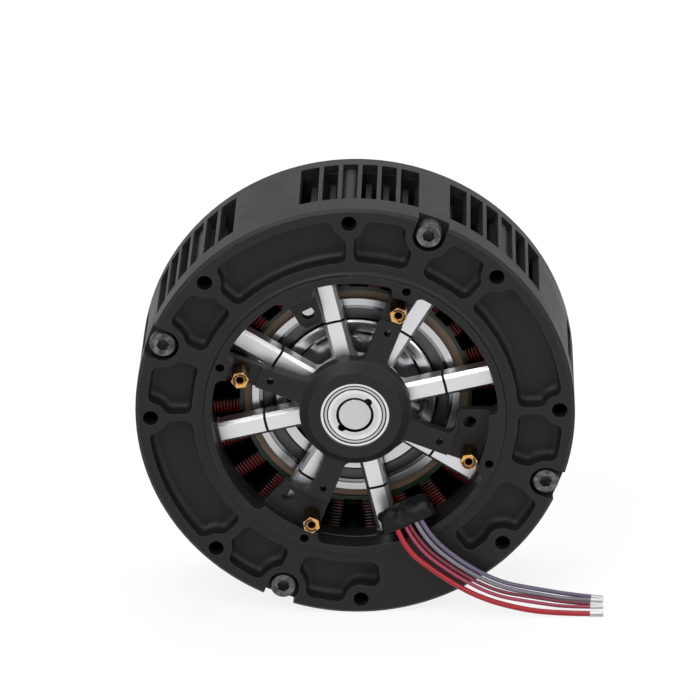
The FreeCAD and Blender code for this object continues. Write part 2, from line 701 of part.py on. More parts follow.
def driver_standoffs():
    post = hexagon(STANDOFF_AF, STANDOFF_TOP, SEAT_DEPTH, STANDOFF_R)
    post = post.fuse(rod(STANDOFF_STUD_R, SEAT_DEPTH, SPIDER_BACK, STANDOFF_R))
    post = post.cut(rod(STANDOFF_BORE_R, STANDOFF_TOP - OVERCUT, SEAT_DEPTH - STANDOFF_FLOOR,
                        STANDOFF_R))
    return group(copies(post.removeSplitter(), QUARTERS, FIRST_ARM))


# ---- rotor bearings --------------------------------------------------------------------
def shielded_bearing(outer_r, bore_r, races, near, width):
    """Outer ring, inner ring and the two shields, which sit in the outer ring."""
    far = near + width
    outer_land = outer_r - races[0]
    inner_land = bore_r + races[1]
    outer = ring(outer_r, outer_land, near, far)
    inner = ring(inner_land, bore_r, near, far)
    edge = SHIELD_SINK + SHIELD
    shields = [
        ring(outer_land, inner_land + SHIELD_GAP, near + SHIELD_SINK, near + edge),
        ring(outer_land, inner_land + SHIELD_GAP, far - edge, far - SHIELD_SINK),
    ]
    return outer, inner, group(shields)


# ---- gears -----------------------------------------------------------------------------
def involute_angle(radius, base_r):
    """Roll-off angle in degrees of an involute at a radius."""
    if radius <= base_r:
        return 0.0
    across = math.acos(base_r / radius)
    return math.degrees(math.tan(across) - across)


def gear_outline(teeth, tip_r, root_r, thinning, steps):
    """Closed face of a spur gear; the first tooth points along +X."""
    pitch_r = GEAR_MODULE * teeth / 2
    base_r = pitch_r * math.cos(math.radians(PRESSURE_ANGLE))
    half = 90.0 / teeth - math.degrees(thinning / 2 / pitch_r)
    half += involute_angle(pitch_r, base_r)
    low_r = max(base_r, min(root_r, tip_r))
    flank = []
    for i in range(steps + 1):
        radius = low_r + (max(root_r, tip_r) - low_r) * i / steps
        flank.append((radius, half - involute_angle(radius, base_r)))
    if min(root_r, tip_r) < base_r:
        flank.insert(0, (min(root_r, tip_r), half))
    points = []
    for tooth in range(teeth):
        centre = 360.0 * tooth / teeth
        points += [polar(r, centre - a) for r, a in flank]
        points += [polar(r, centre + a) for r, a in reversed(flank)]
    return Part.Face(Part.makePolygon(points + points[:1]))


def spur(teeth, near, far, first_angle, steps):
    radius = GEAR_MODULE * teeth / 2
    face = gear_outline(teeth, radius + GEAR_MODULE, radius - ROOT_FACTOR * GEAR_MODULE,
                        TOOTH_THINNING, steps)
    made = face.extrude(V(0, 0, near - far))
    made.translate(V(0, 0, -near))
    made.rotate(V(0, 0, 0), V(0, 0, 1), first_angle)
    return made


def ring_gear():
    """Internal gear: its tooth spaces are the outline of an external gear."""
    near = STATOR_NEAR
    far = RING_GEAR_FAR
    spaces = gear_outline(RING_TEETH, RING_R + ROOT_FACTOR * GEAR_MODULE, RING_R - GEAR_MODULE,
                          -TOOTH_THINNING, 1)
    cutter = sunk(spaces, near - OVERCUT, far + OVERCUT)
    cutter.rotate(V(0, 0, 0), V(0, 0, 1), PLANET_START + 180.0 / RING_TEETH)
    blank_r = RING_R - 2 * GEAR_MODULE
    body = turned([
        (blank_r, near),
        (SLEEVE_R - RING_LIP, near),
        (SLEEVE_R - RING_LIP, near - RING_LIP_PROUD),
        (SLEEVE_R, near - RING_LIP_PROUD),
        (SLEEVE_R, far),
        (blank_r, far),
    ])
    return body.cut(cutter)


def planet_place(index):
    return polar(CENTRE_DISTANCE, PLANET_START + 360.0 * index / PLANET_COUNT)


def planet(index):
    """One planet gear and the bronze bush pressed into it."""
    angle = PLANET_START + 360.0 * index / PLANET_COUNT
    gear = spur(PLANET_TEETH, PLANET_NEAR, PLANET_FAR, angle + 180.0 / PLANET_TEETH, 2)
    gear = gear.cut(rod(BUSH_R, PLANET_NEAR - OVERCUT, PLANET_FAR + OVERCUT))
    bush = ring(BUSH_R, PIN_R + SHAFT_FIT, PLANET_NEAR, PLANET_FAR)
    for made in (gear, bush):
        made.translate(planet_place(index))
    return gear, bush


# ---- rotor -----------------------------------------------------------------------------
def sun_shaft():
    """Hollow rear end for the encoder magnet, bearing seat, hub seat, sun teeth, pilot."""
    near = REAR_BEARING_NEAR
    far = OUT_BEARING_NEAR - SHAFT_END_GAP
    seat_far = near + REAR_BEARING_WIDTH
    hub_far = SPOKE_FAR + SHAFT_SEAT_RUN
    teeth_near = PLANET_NEAR - SUN_RUNOUT
    cup = near + MAGNET_CUP_DEPTH
    body = turned([
        (0, cup),
        (MAGNET_CUP_R, cup),
        (MAGNET_CUP_R, near),
        (SHAFT_R, near),
        (SHAFT_R, seat_far),
        (SHAFT_SEAT_R, seat_far),
        (SHAFT_SEAT_R, hub_far),
        (SHAFT_NECK_R, hub_far),
        (SHAFT_NECK_R, teeth_near),
        (SUN_ROOT_R, teeth_near),
        (SUN_ROOT_R, FRONT_BEARING_NEAR),
        (FRONT_BEARING_BORE_R, FRONT_BEARING_NEAR),
        (FRONT_BEARING_BORE_R, far),
        (0, far),
    ])
    reliefs = copies(rod(RELIEF_R, near - OVERCUT, cup, MAGNET_CUP_R), 2, 45)
    teeth = spur(SUN_TEETH, teeth_near, PLANET_FAR + REAR_PLATE_GAP, PLANET_START, 2)
    return body.fuse(teeth).cut(Part.makeCompound(reliefs)).removeSplitter()


def rotor_bell():
    """Cast bell: hub, eight spokes and the rim that carries the back iron."""
    envelope = turned([
        (SHAFT_SEAT_R, SPOKE_NEAR),
        (BELL_RIM_INNER_R + LAND_FOOT, SPOKE_NEAR, BELL_FILLET),
        (BELL_RIM_INNER_R + BELL_RIM_SLOPE, BELL_RIM_NEAR, BELL_FILLET),
        (ROTOR_R, BELL_RIM_NEAR, BELL_EDGE),
        (ROTOR_R, BELL_RIM_FAR),
        (BELL_RIM_INNER_R, BELL_RIM_FAR),
        (BELL_RIM_INNER_R - BELL_RIM_STEP, SPOKE_FAR),
        (SHAFT_SEAT_R, SPOKE_FAR),
    ])
    web = flat_disc(ROTOR_R, V(0, 0, 0))
    pitch = 360.0 / SPOKES
    gap = flat_sector(BELL_HUB_R, BELL_RIM_INNER_R, 0, pitch)
    for angle in (0, pitch):
        spoke = Part.makePlane(ROTOR_R, SPOKE_WIDTH, V(0, -SPOKE_WIDTH / 2, 0))
        spoke.rotate(V(0, 0, 0), V(0, 0, 1), angle)
        gap = gap.cut(spoke)
    cutter = rounded_prism(gap.Faces[0], 0, 2 * SPOKE_FAR, SPOKE_CORNER)
    bell = envelope.cut(Part.makeCompound(copies(cutter, SPOKES, FIRST_SPOKE)))
    edges = []
    for edge in bell.Edges:
        box = edge.BoundBox
        straight = edge.Curve.TypeId == "Part::GeomLine"
        if straight and box.ZLength < 1e-4 and abs(box.ZMax + SPOKE_NEAR) < 1e-4:
            edges.append(edge)
    bell = bell.makeChamfer(SPOKE_EDGE, edges)
    groove = ring(BELL_GROOVE_R + BELL_GROOVE_WIDTH / 2, BELL_GROOVE_R - BELL_GROOVE_WIDTH / 2,
                  SPOKE_NEAR - OVERCUT, SPOKE_NEAR + BELL_GROOVE_WIDTH)
    return bell.cut(groove)


def rotor_magnets():
    span = 360.0 / MAGNETS - MAGNET_GAP_ANGLE
    one = sector(STATOR_R + AIR_GAP, BACK_IRON_INNER_R, -span / 2, span / 2,
                 BELL_RIM_FAR + MAGNET_INSET, ROTOR_FAR - MAGNET_INSET)
    return group(copies(one, MAGNETS))


# ---- stator ----------------------------------------------------------------------------
def stator_core():
    near = STATOR_NEAR
    far = STATOR_FAR
    yoke = ring(YOKE_R, STATOR_BORE_R, near, far)
    tip_r = STATOR_R - TIP_THICKNESS
    tip_half = (180.0 / STATOR_TEETH) - math.degrees(SLOT_OPENING / 2 / STATOR_R)
    tooth = block(YOKE_R - TOOTH_ROOT, STATOR_R - TOOTH_END, TOOTH_WIDTH, near, far)
    tooth = tooth.fuse(sector(tip_r, STATOR_R, -tip_half, tip_half, near, far))
    teeth = copies(tooth.removeSplitter(), STATOR_TEETH, STATOR_FIRST_TOOTH)
    return merged(yoke, teeth)


def stator_insulator():
    """Moulded end caps: a lip on the yoke and a saddle on every tooth, at both ends."""
    ends = []
    for near, far in ((STATOR_NEAR - END_CAP, STATOR_NEAR), (STATOR_FAR, STATOR_FAR + END_CAP)):
        lip = ring(YOKE_R, YOKE_R - END_CAP_LIP, near, far)
        saddle = block(YOKE_R - END_CAP_LIP / 2, COIL_INNER_R + COIL_TURNS * WIRE, TOOTH_WIDTH, near, far)
        ends.append(merged(lip, copies(saddle, STATOR_TEETH, STATOR_FIRST_TOOTH)))
    return group(ends)


def stator_coils():
    """One layer of thick wire around each tooth, as a band with bevelled corners."""
    half = TOOTH_WIDTH / 2
    near = STATOR_NEAR - END_CAP
    far = STATOR_FAR + END_CAP

    def loop(grow, corner):
        wide = half + grow
        low = -far - grow
        high = -near + grow
        bounds = [
            (wide, low + corner), (wide, high - corner), (wide - corner, high),
            (corner - wide, high), (-wide, high - corner), (-wide, low + corner),
            (corner - wide, low), (wide - corner, low),
        ]
        points = [V(COIL_INNER_R, y, z) for y, z in bounds]
        return Part.Face(Part.makePolygon(points + points[:1]))

    depth = V(COIL_TURNS * WIRE, 0, 0)
    coil = loop(WIRE + COIL_CLEARANCE, WIRE_BEND).extrude(depth)
    core = Part.makeBox(COIL_TURNS * WIRE, TOOTH_WIDTH + 2 * COIL_CLEARANCE, far - near,
                        V(COIL_INNER_R, -half - COIL_CLEARANCE, -far))
    return group(copies(coil.cut(core), STATOR_TEETH, STATOR_FIRST_TOOTH))


# ---- carrier and output ----------------------------------------------------------------
def pin_angles():
    return [PLANET_START + 360.0 * i / PLANET_COUNT for i in range(PLANET_COUNT)]


def carrier_rear_plate():
    """Dished plate with a polished rim; it holds the rear ends of the planet pins."""
    inner_rim = RIM_R - REAR_PLATE_RIM
    rim_near = REAR_PLATE_NEAR - REAR_PLATE_RISE
    crown = rim_near - RIM_CROWN
    plate = turned([
        (REAR_PLATE_BORE_R, REAR_PLATE_NEAR),
        (inner_rim - REAR_PLATE_DISH, REAR_PLATE_NEAR),
        (inner_rim, rim_near),
        (RIM_R - RIM_EDGE, crown),
        (RIM_R, rim_near - RIM_EDGE_DROP),
        (RIM_R, REAR_PLATE_FAR),
        (REAR_PLATE_BORE_R, REAR_PLATE_FAR),
    ])
    holes = [rod(PIN_R, crown, REAR_PLATE_FAR + OVERCUT, CENTRE_DISTANCE, a)
             for a in pin_angles()]
    return plate.cut(Part.makeCompound(holes))


def planet_pins():
    pin = rod(PIN_R, REAR_PLATE_NEAR - PIN_PROUD, OUT_BEARING_NEAR - SHAFT_END_GAP,
              CENTRE_DISTANCE)
    return group(copies(pin, PLANET_COUNT, PLANET_START))


def flange_screws(shape):
    """The screws between flange and carrier sit halfway between the output bolts."""
    return copies(shape, OUTPUT_BOLTS, 180.0 / OUTPUT_BOLTS)


def carrier_front_plate():
    plate = ring(SLEEVE_R, CARRIER_BORE_R, CARRIER_NEAR, OUT_BEARING_NEAR)
    plate = plate.cut(rod(FRONT_BEARING_R, FRONT_BEARING_NEAR, OUT_BEARING_NEAR + OVERCUT))
    holes = [rod(PIN_R, CARRIER_NEAR - OVERCUT, OUT_BEARING_NEAR - SHAFT_END_GAP,
                 CENTRE_DISTANCE, a) for a in pin_angles()]
    holes += flange_screws(rod(M3_R, CARRIER_NEAR + FLANGE_SCREW_WALL,
                               OUT_BEARING_NEAR + OVERCUT, OUTPUT_BOLT_R))
    return plate.cut(Part.makeCompound(holes))


def output_flange():
    end = OUTPUT_DEPTH + OVERCUT
    pilot_near = OUTPUT_DEPTH - OUTPUT_PILOT_DEPTH
    body = turned([
        (0, OUT_BEARING_NEAR),
        (OUT_BEARING_BORE_R, OUT_BEARING_NEAR),
        (OUT_BEARING_BORE_R, OUT_BEARING_FAR),
        (OUTPUT_R, OUT_BEARING_FAR),
        (OUTPUT_R, OUTPUT_DEPTH - OUTPUT_EDGE),
        (OUTPUT_R - OUTPUT_EDGE, OUTPUT_DEPTH),
        (OUTPUT_PILOT_R, OUTPUT_DEPTH),
        (OUTPUT_PILOT_R, pilot_near),
        (0, pilot_near),
    ])
    bolt = rod(BOLT_HOLE_R, OUTPUT_DEPTH - OUTPUT_BOLT_DEPTH, end, OUTPUT_BOLT_R)
    clearance = rod(M3_CLEARANCE_R, OUT_BEARING_NEAR - OVERCUT, end, OUTPUT_BOLT_R)
    recess = rod(M3_RECESS_R, OUTPUT_DEPTH - M3_SINK - M3_HEAD, end, OUTPUT_BOLT_R)
    holes = copies(bolt, OUTPUT_BOLTS) + flange_screws(clearance) + flange_screws(recess)
    return body.cut(Part.makeCompound(holes))


def output_screws():
    top = OUTPUT_DEPTH - M3_SINK
    under = top - M3_HEAD
    screw = rod(M3_HEAD_R, under, top, OUTPUT_BOLT_R)
    screw = screw.fuse(rod(M3_R, CARRIER_NEAR + FLANGE_SCREW_WALL, under, OUTPUT_BOLT_R))
    screw = screw.cut(hexagon(M3_KEY, top - M3_KEY_DEPTH, top + OVERCUT, OUTPUT_BOLT_R))
    return group(flange_screws(screw.removeSplitter()))


# ---- leads -----------------------------------------------------------------------------
def in_channel(shape):
    """Turns a shape built along +X to the place where the leads come out."""
    shape.rotate(V(0, 0, 0), V(0, 0, 1), CHANNEL_ANGLE)
    return shape


def lead_boot():
    """Black sleeve that folds the leads round the edge of the opening."""
    centre_r = BOOT_BEND_AT
    centre_depth = CHANNEL_CEILING + BOOT_THICKNESS / 2 - BOOT_BEND_R
    outer = BOOT_BEND_R + BOOT_THICKNESS / 2
    inner = BOOT_BEND_R - BOOT_THICKNESS / 2

    def at(radius, depth):
        return V(radius, -BOOT_WIDTH / 2, -depth)

    def half_turn(radius, sign):
        ends = [at(centre_r, centre_depth - sign * radius),
                at(centre_r - radius, centre_depth),
                at(centre_r, centre_depth + sign * radius)]
        return Part.Arc(*ends).toShape()

    edges = [
        half_turn(outer, 1),
        Part.makeLine(at(centre_r, centre_depth + outer), at(BOOT_REAR_R, centre_depth + outer)),
        Part.makeLine(at(BOOT_REAR_R, centre_depth + outer), at(BOOT_REAR_R, centre_depth + inner)),
        Part.makeLine(at(BOOT_REAR_R, centre_depth + inner), at(centre_r, centre_depth + inner)),
        half_turn(inner, -1),
        Part.makeLine(at(centre_r, centre_depth - inner), at(BOOT_MOUTH_R, centre_depth - inner)),
        Part.makeLine(at(BOOT_MOUTH_R, centre_depth - inner),
                      at(BOOT_MOUTH_R, centre_depth - outer)),
        Part.makeLine(at(BOOT_MOUTH_R, centre_depth - outer), at(centre_r, centre_depth - outer)),
    ]
    boot = Part.Face(Part.Wire(edges)).extrude(V(0, BOOT_WIDTH, 0))
    rims = []
    for edge in boot.Edges:
        box = edge.BoundBox
        if box.YLength < 1e-4 and box.XLength > 1 and box.ZLength > 2 * inner + 0.1:
            rims.append(edge)
    return in_channel(boot.makeFillet(BOOT_EDGE, rims))


def lead_harness():
    """Flat bundle from the windings, round the outside of the rotor, to the boot."""
    half = HARNESS_WIDTH / 2
    outer_r = FIN_INNER_R - SIDE_GAP
    inner_r = outer_r - HARNESS_THICKNESS + SIDE_GAP
    near = CHANNEL_CEILING
    far = BASE_INNER
    runs = [
        (BOOT_REAR_R, outer_r, near, near + HARNESS_THICKNESS),
        (inner_r, outer_r, near, far),
        (inner_r - HARNESS_FOOT_REACH, outer_r, far - HARNESS_FOOT, far),
    ]
    pieces = [Part.makeBox(r1 - r0, 2 * half, d1 - d0, V(r0, -half, -d1))
              for r0, r1, d0, d1 in runs]
    return in_channel(merged(pieces[0], pieces[1:]))


def lead(diameter, route):
    """Round lead: straight runs joined by arcs that touch both runs."""
    points = [V(x, depth - OUTPUT_DEPTH, height - DRUM_R) for x, depth, height in route]
    start = points[0]
    edges = []
    radii = []
    for before, corner, after in zip(points, points[1:], points[2:]):
        back = before - corner
        ahead = after - corner
        turn = math.pi - back.getAngle(ahead)
        reach = 0.45 * min(back.Length, ahead.Length)
        radii.append(reach / math.tan(turn / 2))
        into = corner + V(back).normalize() * reach
        out = corner + V(ahead).normalize() * reach
        bisector = (V(back).normalize() + V(ahead).normalize()).normalize()
        sagitta = radii[-1] / math.cos(turn / 2) - radii[-1]
        edges.append(Part.makeLine(start, into))
        edges.append(Part.Arc(into, corner + bisector * sagitta, out).toShape())
        start = out
    edges.append(Part.makeLine(start, points[-1]))
    path = Part.Wire(edges)
    section = Part.Wire([Part.makeCircle(diameter / 2, points[0], points[1] - points[0])])
    solid = path.makePipeShell([section], True, False)
    ideal = math.pi * diameter ** 2 / 4 * path.Length
    print("lead %.1f mm: length %.1f, smallest bend radius %.1f, volume %.3f of section x length"
          % (diameter, path.Length, min(radii), solid.Volume / ideal))
    return solid


# ---- build -----------------------------------------------------------------------------
def build():
    rear = shielded_bearing(REAR_BEARING_R, REAR_BEARING_BORE_R,
                            (REAR_OUTER_RACE, REAR_INNER_RACE),
                            REAR_BEARING_NEAR, REAR_BEARING_WIDTH)
    front = shielded_bearing(FRONT_BEARING_R, FRONT_BEARING_BORE_R, (FRONT_RACE, FRONT_RACE),
                             FRONT_BEARING_NEAR, FRONT_BEARING_WIDTH)
    out_outer, out_inner, rollers = output_bearing()
    nodes = {
        "rear_housing": rear_housing(),
        "base_housing": base_housing(),
        "housing_screws": housing_screws(),
        "driver_standoffs": driver_standoffs(),
        "rear_bearing_outer": rear[0],
        "rear_bearing_inner": rear[1],
        "rear_bearing_shields": rear[2],
        "front_bearing_outer": front[0],
        "front_bearing_inner": front[1],
        "front_bearing_shields": front[2],
        "output_bearing_outer": out_outer,
        "output_bearing_inner": out_inner,
        "output_bearing_rollers": rollers,
        "bearing_cover": bearing_cover(),
        "cover_screws": cover_screws(),
        "ring_gear": ring_gear(),
        "stator_core": stator_core(),
        "stator_insulator": stator_insulator(),
        "stator_coils": stator_coils(),
        "rotor_bell": rotor_bell(),
        "rotor_back_iron": ring(ROTOR_R, BACK_IRON_INNER_R, BELL_RIM_FAR, ROTOR_FAR),
        "rotor_magnets": rotor_magnets(),
        "sun_shaft": sun_shaft(),
        "encoder_magnet": rod(MAGNET_CUP_R - MAGNET_CUP_GAP, REAR_BEARING_NEAR + ENCODER_SINK,
                              REAR_BEARING_NEAR + MAGNET_CUP_DEPTH),
        "carrier_rear_plate": carrier_rear_plate(),
        "carrier_front_plate": carrier_front_plate(),
        "planet_pins": planet_pins(),
        "output_flange": output_flange(),
        "output_screws": output_screws(),
        "lead_boot": lead_boot(),
        "lead_harness": lead_harness(),
    }
    for index in range(PLANET_COUNT):
        gear, bush = planet(index)
        nodes["planet_gear_%d" % (index + 1)] = gear
        nodes["planet_bush_%d" % (index + 1)] = bush
    return nodes


os.makedirs("parts", exist_ok=True)
parts = {name: finish(shape) for name, shape in build().items()}
leads = {name: lead(*size_and_route) for name, size_and_route in LEADS.items()}
parts["lead_boot"] = parts["lead_boot"].cut(list(leads.values()))
parts.update(leads)
for name, placed in parts.items():
    placed.exportStep("parts/%s.step" % name)
    print("%-24s solids %d  volume %.1f  valid %s"
          % (name, len(placed.Solids), placed.Volume, placed.isValid()))
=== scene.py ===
import math

import bpy
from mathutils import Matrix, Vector


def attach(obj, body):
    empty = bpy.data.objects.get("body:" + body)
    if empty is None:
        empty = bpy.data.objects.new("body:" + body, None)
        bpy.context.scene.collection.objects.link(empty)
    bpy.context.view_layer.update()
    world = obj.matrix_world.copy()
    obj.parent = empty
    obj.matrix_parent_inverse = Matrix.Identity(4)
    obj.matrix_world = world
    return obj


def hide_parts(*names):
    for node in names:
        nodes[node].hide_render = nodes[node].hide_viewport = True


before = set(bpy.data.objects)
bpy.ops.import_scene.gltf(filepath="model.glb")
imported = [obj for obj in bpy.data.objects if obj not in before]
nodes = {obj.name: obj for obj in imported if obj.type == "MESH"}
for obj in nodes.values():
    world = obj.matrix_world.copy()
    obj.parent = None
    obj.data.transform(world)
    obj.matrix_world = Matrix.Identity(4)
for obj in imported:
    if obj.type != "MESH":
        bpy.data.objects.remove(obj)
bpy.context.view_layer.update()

# The drum stands on its curved side. +Y is the output axis, and "depth" is counted in
# millimetres from the open rear face towards the output.
MM = 0.001
REAR = -0.0413
TABLE = -0.0575
SCREW_R = 53.5
POST_R = 31.9
ARMS = (67.5, 157.5, 247.5, 337.5)
BARE_TIP = 3.5

# Housing screws
HEAD_R = 3.5
HEAD_FAR = 4.5
HEAD_RIM = 0.95          # where the knurl starts under the head's slope
HEAD_SLOPE = 0.45
KNURL_STEP = 5           # degrees
KEY_CORNER_R = 1.732
SHANK_R = 2.0
SHANK_FAR = 32.2
TIP_R = 1.65
TIP_FAR = 36.7

# Standoffs
POST_CORNER_R = 2.309
POST_TURNED_R = 2.27
POST_TOP = -4.8
POST_FOOT = 2.4
POST_MOUTH_R = 1.3
STUD_R = 1.2
STUD_FAR = 5.0

# Windings
WIRE = 0.87
TURNS = 10
COILS = 24
COIL_START_R = 31.0
COIL_DEPTH = 21.2        # middle of a coil
COIL_HALF = 8.23
COIL_FIRST = 4.3         # angle of the first coil
TURN_BEND_R = 1.35


def spot(radius, angle, depth):
    """Point at a radius, an angle seen from the rear and a depth, all in millimetres."""
    turn = math.radians(angle)
    place = Vector((radius * math.cos(turn), depth, radius * math.sin(turn)))
    return place * MM + Vector((0, REAR, 0))


def tone(red, green, blue):
    """Colour from 0-255 display values."""
    linear = []
    for value in (red, green, blue):
        share = value / 255
        linear.append(share / 12.92 if share <= 0.04045 else ((share + 0.055) / 1.055) ** 2.4)
    return (*linear, 1.0)


# ---- camera ----------------------------------------------------------------------------
def set_camera():
    camera = bpy.data.objects.new("camera", bpy.data.cameras.new("camera"))
    bpy.context.collection.objects.link(camera)
    camera.location = (0.043614, -1.369121, 0.577399)
    aim = Vector((-0.000970, -0.034707, 0.015480))
    look = (aim - camera.location).to_track_quat("-Z", "Y")
    camera.rotation_euler = look.to_euler()
    camera.rotation_euler.rotate_axis("Z", math.radians(-1.866))
    camera.data.lens = 285.08
    camera.data.sensor_width = 36
    camera.data.clip_start = 0.05
    camera.data.clip_end = 20
    bpy.context.scene.camera = camera
    bpy.context.scene.view_settings.view_transform = "Standard"


# ---- leads -----------------------------------------------------------------------------
# Diameter, length, and a route given across the drum, in depth and in height over the table.
LEADS = {
    "lead_red": (1.5, 64.1, [
        (9.90, -2.7, 26.7), (11.9, -4.0, 20.6), (19.6, -4.7, 14.0), (30.6, -4.6, 6.3),
        (43.0, -4.1, 2.0), (54.0, -4.2, 0.75), (64.0, -4.7, 0.75)]),
    "lead_pink": (1.0, 62.0, [
        (11.90, -2.7, 27.5), (15.0, -4.1, 20.9), (24.2, -4.9, 13.4), (34.9, -4.2, 6.4),
        (45.6, -2.9, 3.6), (55.2, -1.4, 1.2), (64.0, 0.0, 0.5)]),
    "lead_crimson": (1.0, 60.9, [
        (12.90, -2.7, 27.95), (16.0, -4.0, 21.8), (24.8, -4.8, 14.5), (35.5, -3.9, 7.5),
        (46.0, -2.2, 4.7), (55.5, -0.2, 1.9), (64.0, 1.3, 0.5)]),
    "lead_grey": (1.2, 60.1, [
        (14.70, -2.7, 28.8), (17.2, -3.9, 23.2), (25.6, -4.0, 15.3), (35.9, -3.2, 8.6),
        (46.4, -1.2, 5.2), (55.6, 1.6, 2.0), (64.0, 3.9, 0.6)]),
    "lead_violet": (1.2, 59.1, [
        (15.96, -2.7, 29.4), (18.4, -3.8, 24.2), (26.5, -3.8, 16.4), (36.6, -2.9, 9.7),
        (46.8, -0.5, 6.3), (55.9, 2.8, 2.9), (64.0, 5.4, 0.6)]),
}


def lay_lead(name, diameter, route, material):
    """One round lead on a smooth line through its route."""
    curve = bpy.data.curves.new(name + "_line", "CURVE")
    curve.dimensions = "3D"
    spline = curve.splines.new("NURBS")
    spline.points.add(len(route) - 1)
    for point, (x, depth, height) in zip(spline.points, route):
        point.co = (x * MM, depth * MM + REAR, height * MM + TABLE, 1)
    spline.order_u = 3
    spline.use_endpoint_u = True
    spline.resolution_u = 12
    curve.bevel_depth = diameter / 2 * MM
    curve.bevel_resolution = 4
    curve.use_fill_caps = True
    curve.materials.append(material)
    lead = bpy.data.objects.new(name + "_insulation", curve)
    bpy.context.collection.objects.link(lead)
    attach(lead, "housing")
    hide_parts(name)
    tip = tinned_end(name, diameter, route)
    return lead


def tinned_end(name, diameter, route):
    """Ring of solder-tinned strands that stands out of the cut insulation."""
    before, last = (Vector((x, depth, height)) * MM + Vector((0, REAR, TABLE))
                    for x, depth, height in route[-2:])
    way = (last - before).normalized()
    nothing_selected()
    bpy.ops.mesh.primitive_cylinder_add(
        vertices=24, radius=diameter * 0.53 * MM, depth=BARE_TIP * MM,
        location=last - way * (BARE_TIP / 2 - 0.02) * MM,
        rotation=way.to_track_quat("Z", "Y").to_euler())
    tip = bpy.context.object
    bevelled(tip, lambda co: (co - last).length < BARE_TIP / 2 * MM, 0.12)
    finished(tip, name + "_tip", TIN, "housing")
    return tip


# ---- shader groups ---------------------------------------------------------------------
def new_group(name, inputs, outputs):
    """Empty shader group with named number inputs and typed outputs."""
    group = bpy.data.node_groups.new(name, "ShaderNodeTree")
    for label, value in inputs:
        socket = group.interface.new_socket(label, in_out="INPUT", socket_type="NodeSocketFloat")
        socket.default_value = value
    for label, kind in outputs:
        group.interface.new_socket(label, in_out="OUTPUT", socket_type=kind)
    return group, group.nodes.new("NodeGroupInput"), group.nodes.new("NodeGroupOutput")


def grain_group():
    """Fine blasted grain with slow blotches: a height and a mask."""
    group, given, result = new_group(
        "blasted_grain", [("Scale", 2600.0), ("Blotch Scale", 90.0)],
        [("Height", "NodeSocketFloat"), ("Blotches", "NodeSocketFloat")])
    place = group.nodes.new("ShaderNodeTexCoord")
    fine = group.nodes.new("ShaderNodeTexNoise")
    fine.inputs["Detail"].default_value = 3
    slow = group.nodes.new("ShaderNodeTexNoise")
    slow.inputs["Detail"].default_value = 5
    slow.inputs["Roughness"].default_value = 0.6
    for texture, scale in ((fine, "Scale"), (slow, "Blotch Scale")):
        group.links.new(place.outputs["Object"], texture.inputs["Vector"])
        group.links.new(given.outputs[scale], texture.inputs["Scale"])
    group.links.new(fine.outputs["Fac"], result.inputs["Height"])
    group.links.new(slow.outputs["Fac"], result.inputs["Blotches"])
    return group


def turning_group():
    """Fine tool marks that run round the output axis: a height and a mask."""
    group, given, result = new_group(
        "turning_marks", [("Scale", 5200.0)],
        [("Height", "NodeSocketFloat"), ("Bands", "NodeSocketFloat")])
    place = group.nodes.new("ShaderNodeTexCoord")
    split = group.nodes.new("ShaderNodeSeparateXYZ")
    flat = group.nodes.new("ShaderNodeCombineXYZ")
    radius = group.nodes.new("ShaderNodeVectorMath")
    radius.operation = "LENGTH"
    spread = group.nodes.new("ShaderNodeMath")
    spread.operation = "MULTIPLY"
    fine = group.nodes.new("ShaderNodeTexNoise")
    fine.noise_dimensions = "1D"
    fine.inputs["Detail"].default_value = 4
    coarse = group.nodes.new("ShaderNodeTexNoise")
    coarse.noise_dimensions = "1D"
    coarse.inputs["Scale"].default_value = 0.22
    link = group.links.new
    link(place.outputs["Object"], split.inputs[0])
    link(split.outputs["X"], flat.inputs["X"])
    link(split.outputs["Z"], flat.inputs["Z"])
    link(flat.outputs[0], radius.inputs[0])
    link(radius.outputs["Value"], spread.inputs[0])
    link(given.outputs["Scale"], spread.inputs[1])
    link(spread.outputs[0], fine.inputs["W"])
    link(spread.outputs[0], coarse.inputs["W"])
    fine.inputs["Scale"].default_value = 1.0
    link(fine.outputs["Fac"], result.inputs["Height"])
    link(coarse.outputs["Fac"], result.inputs["Bands"])
    return group


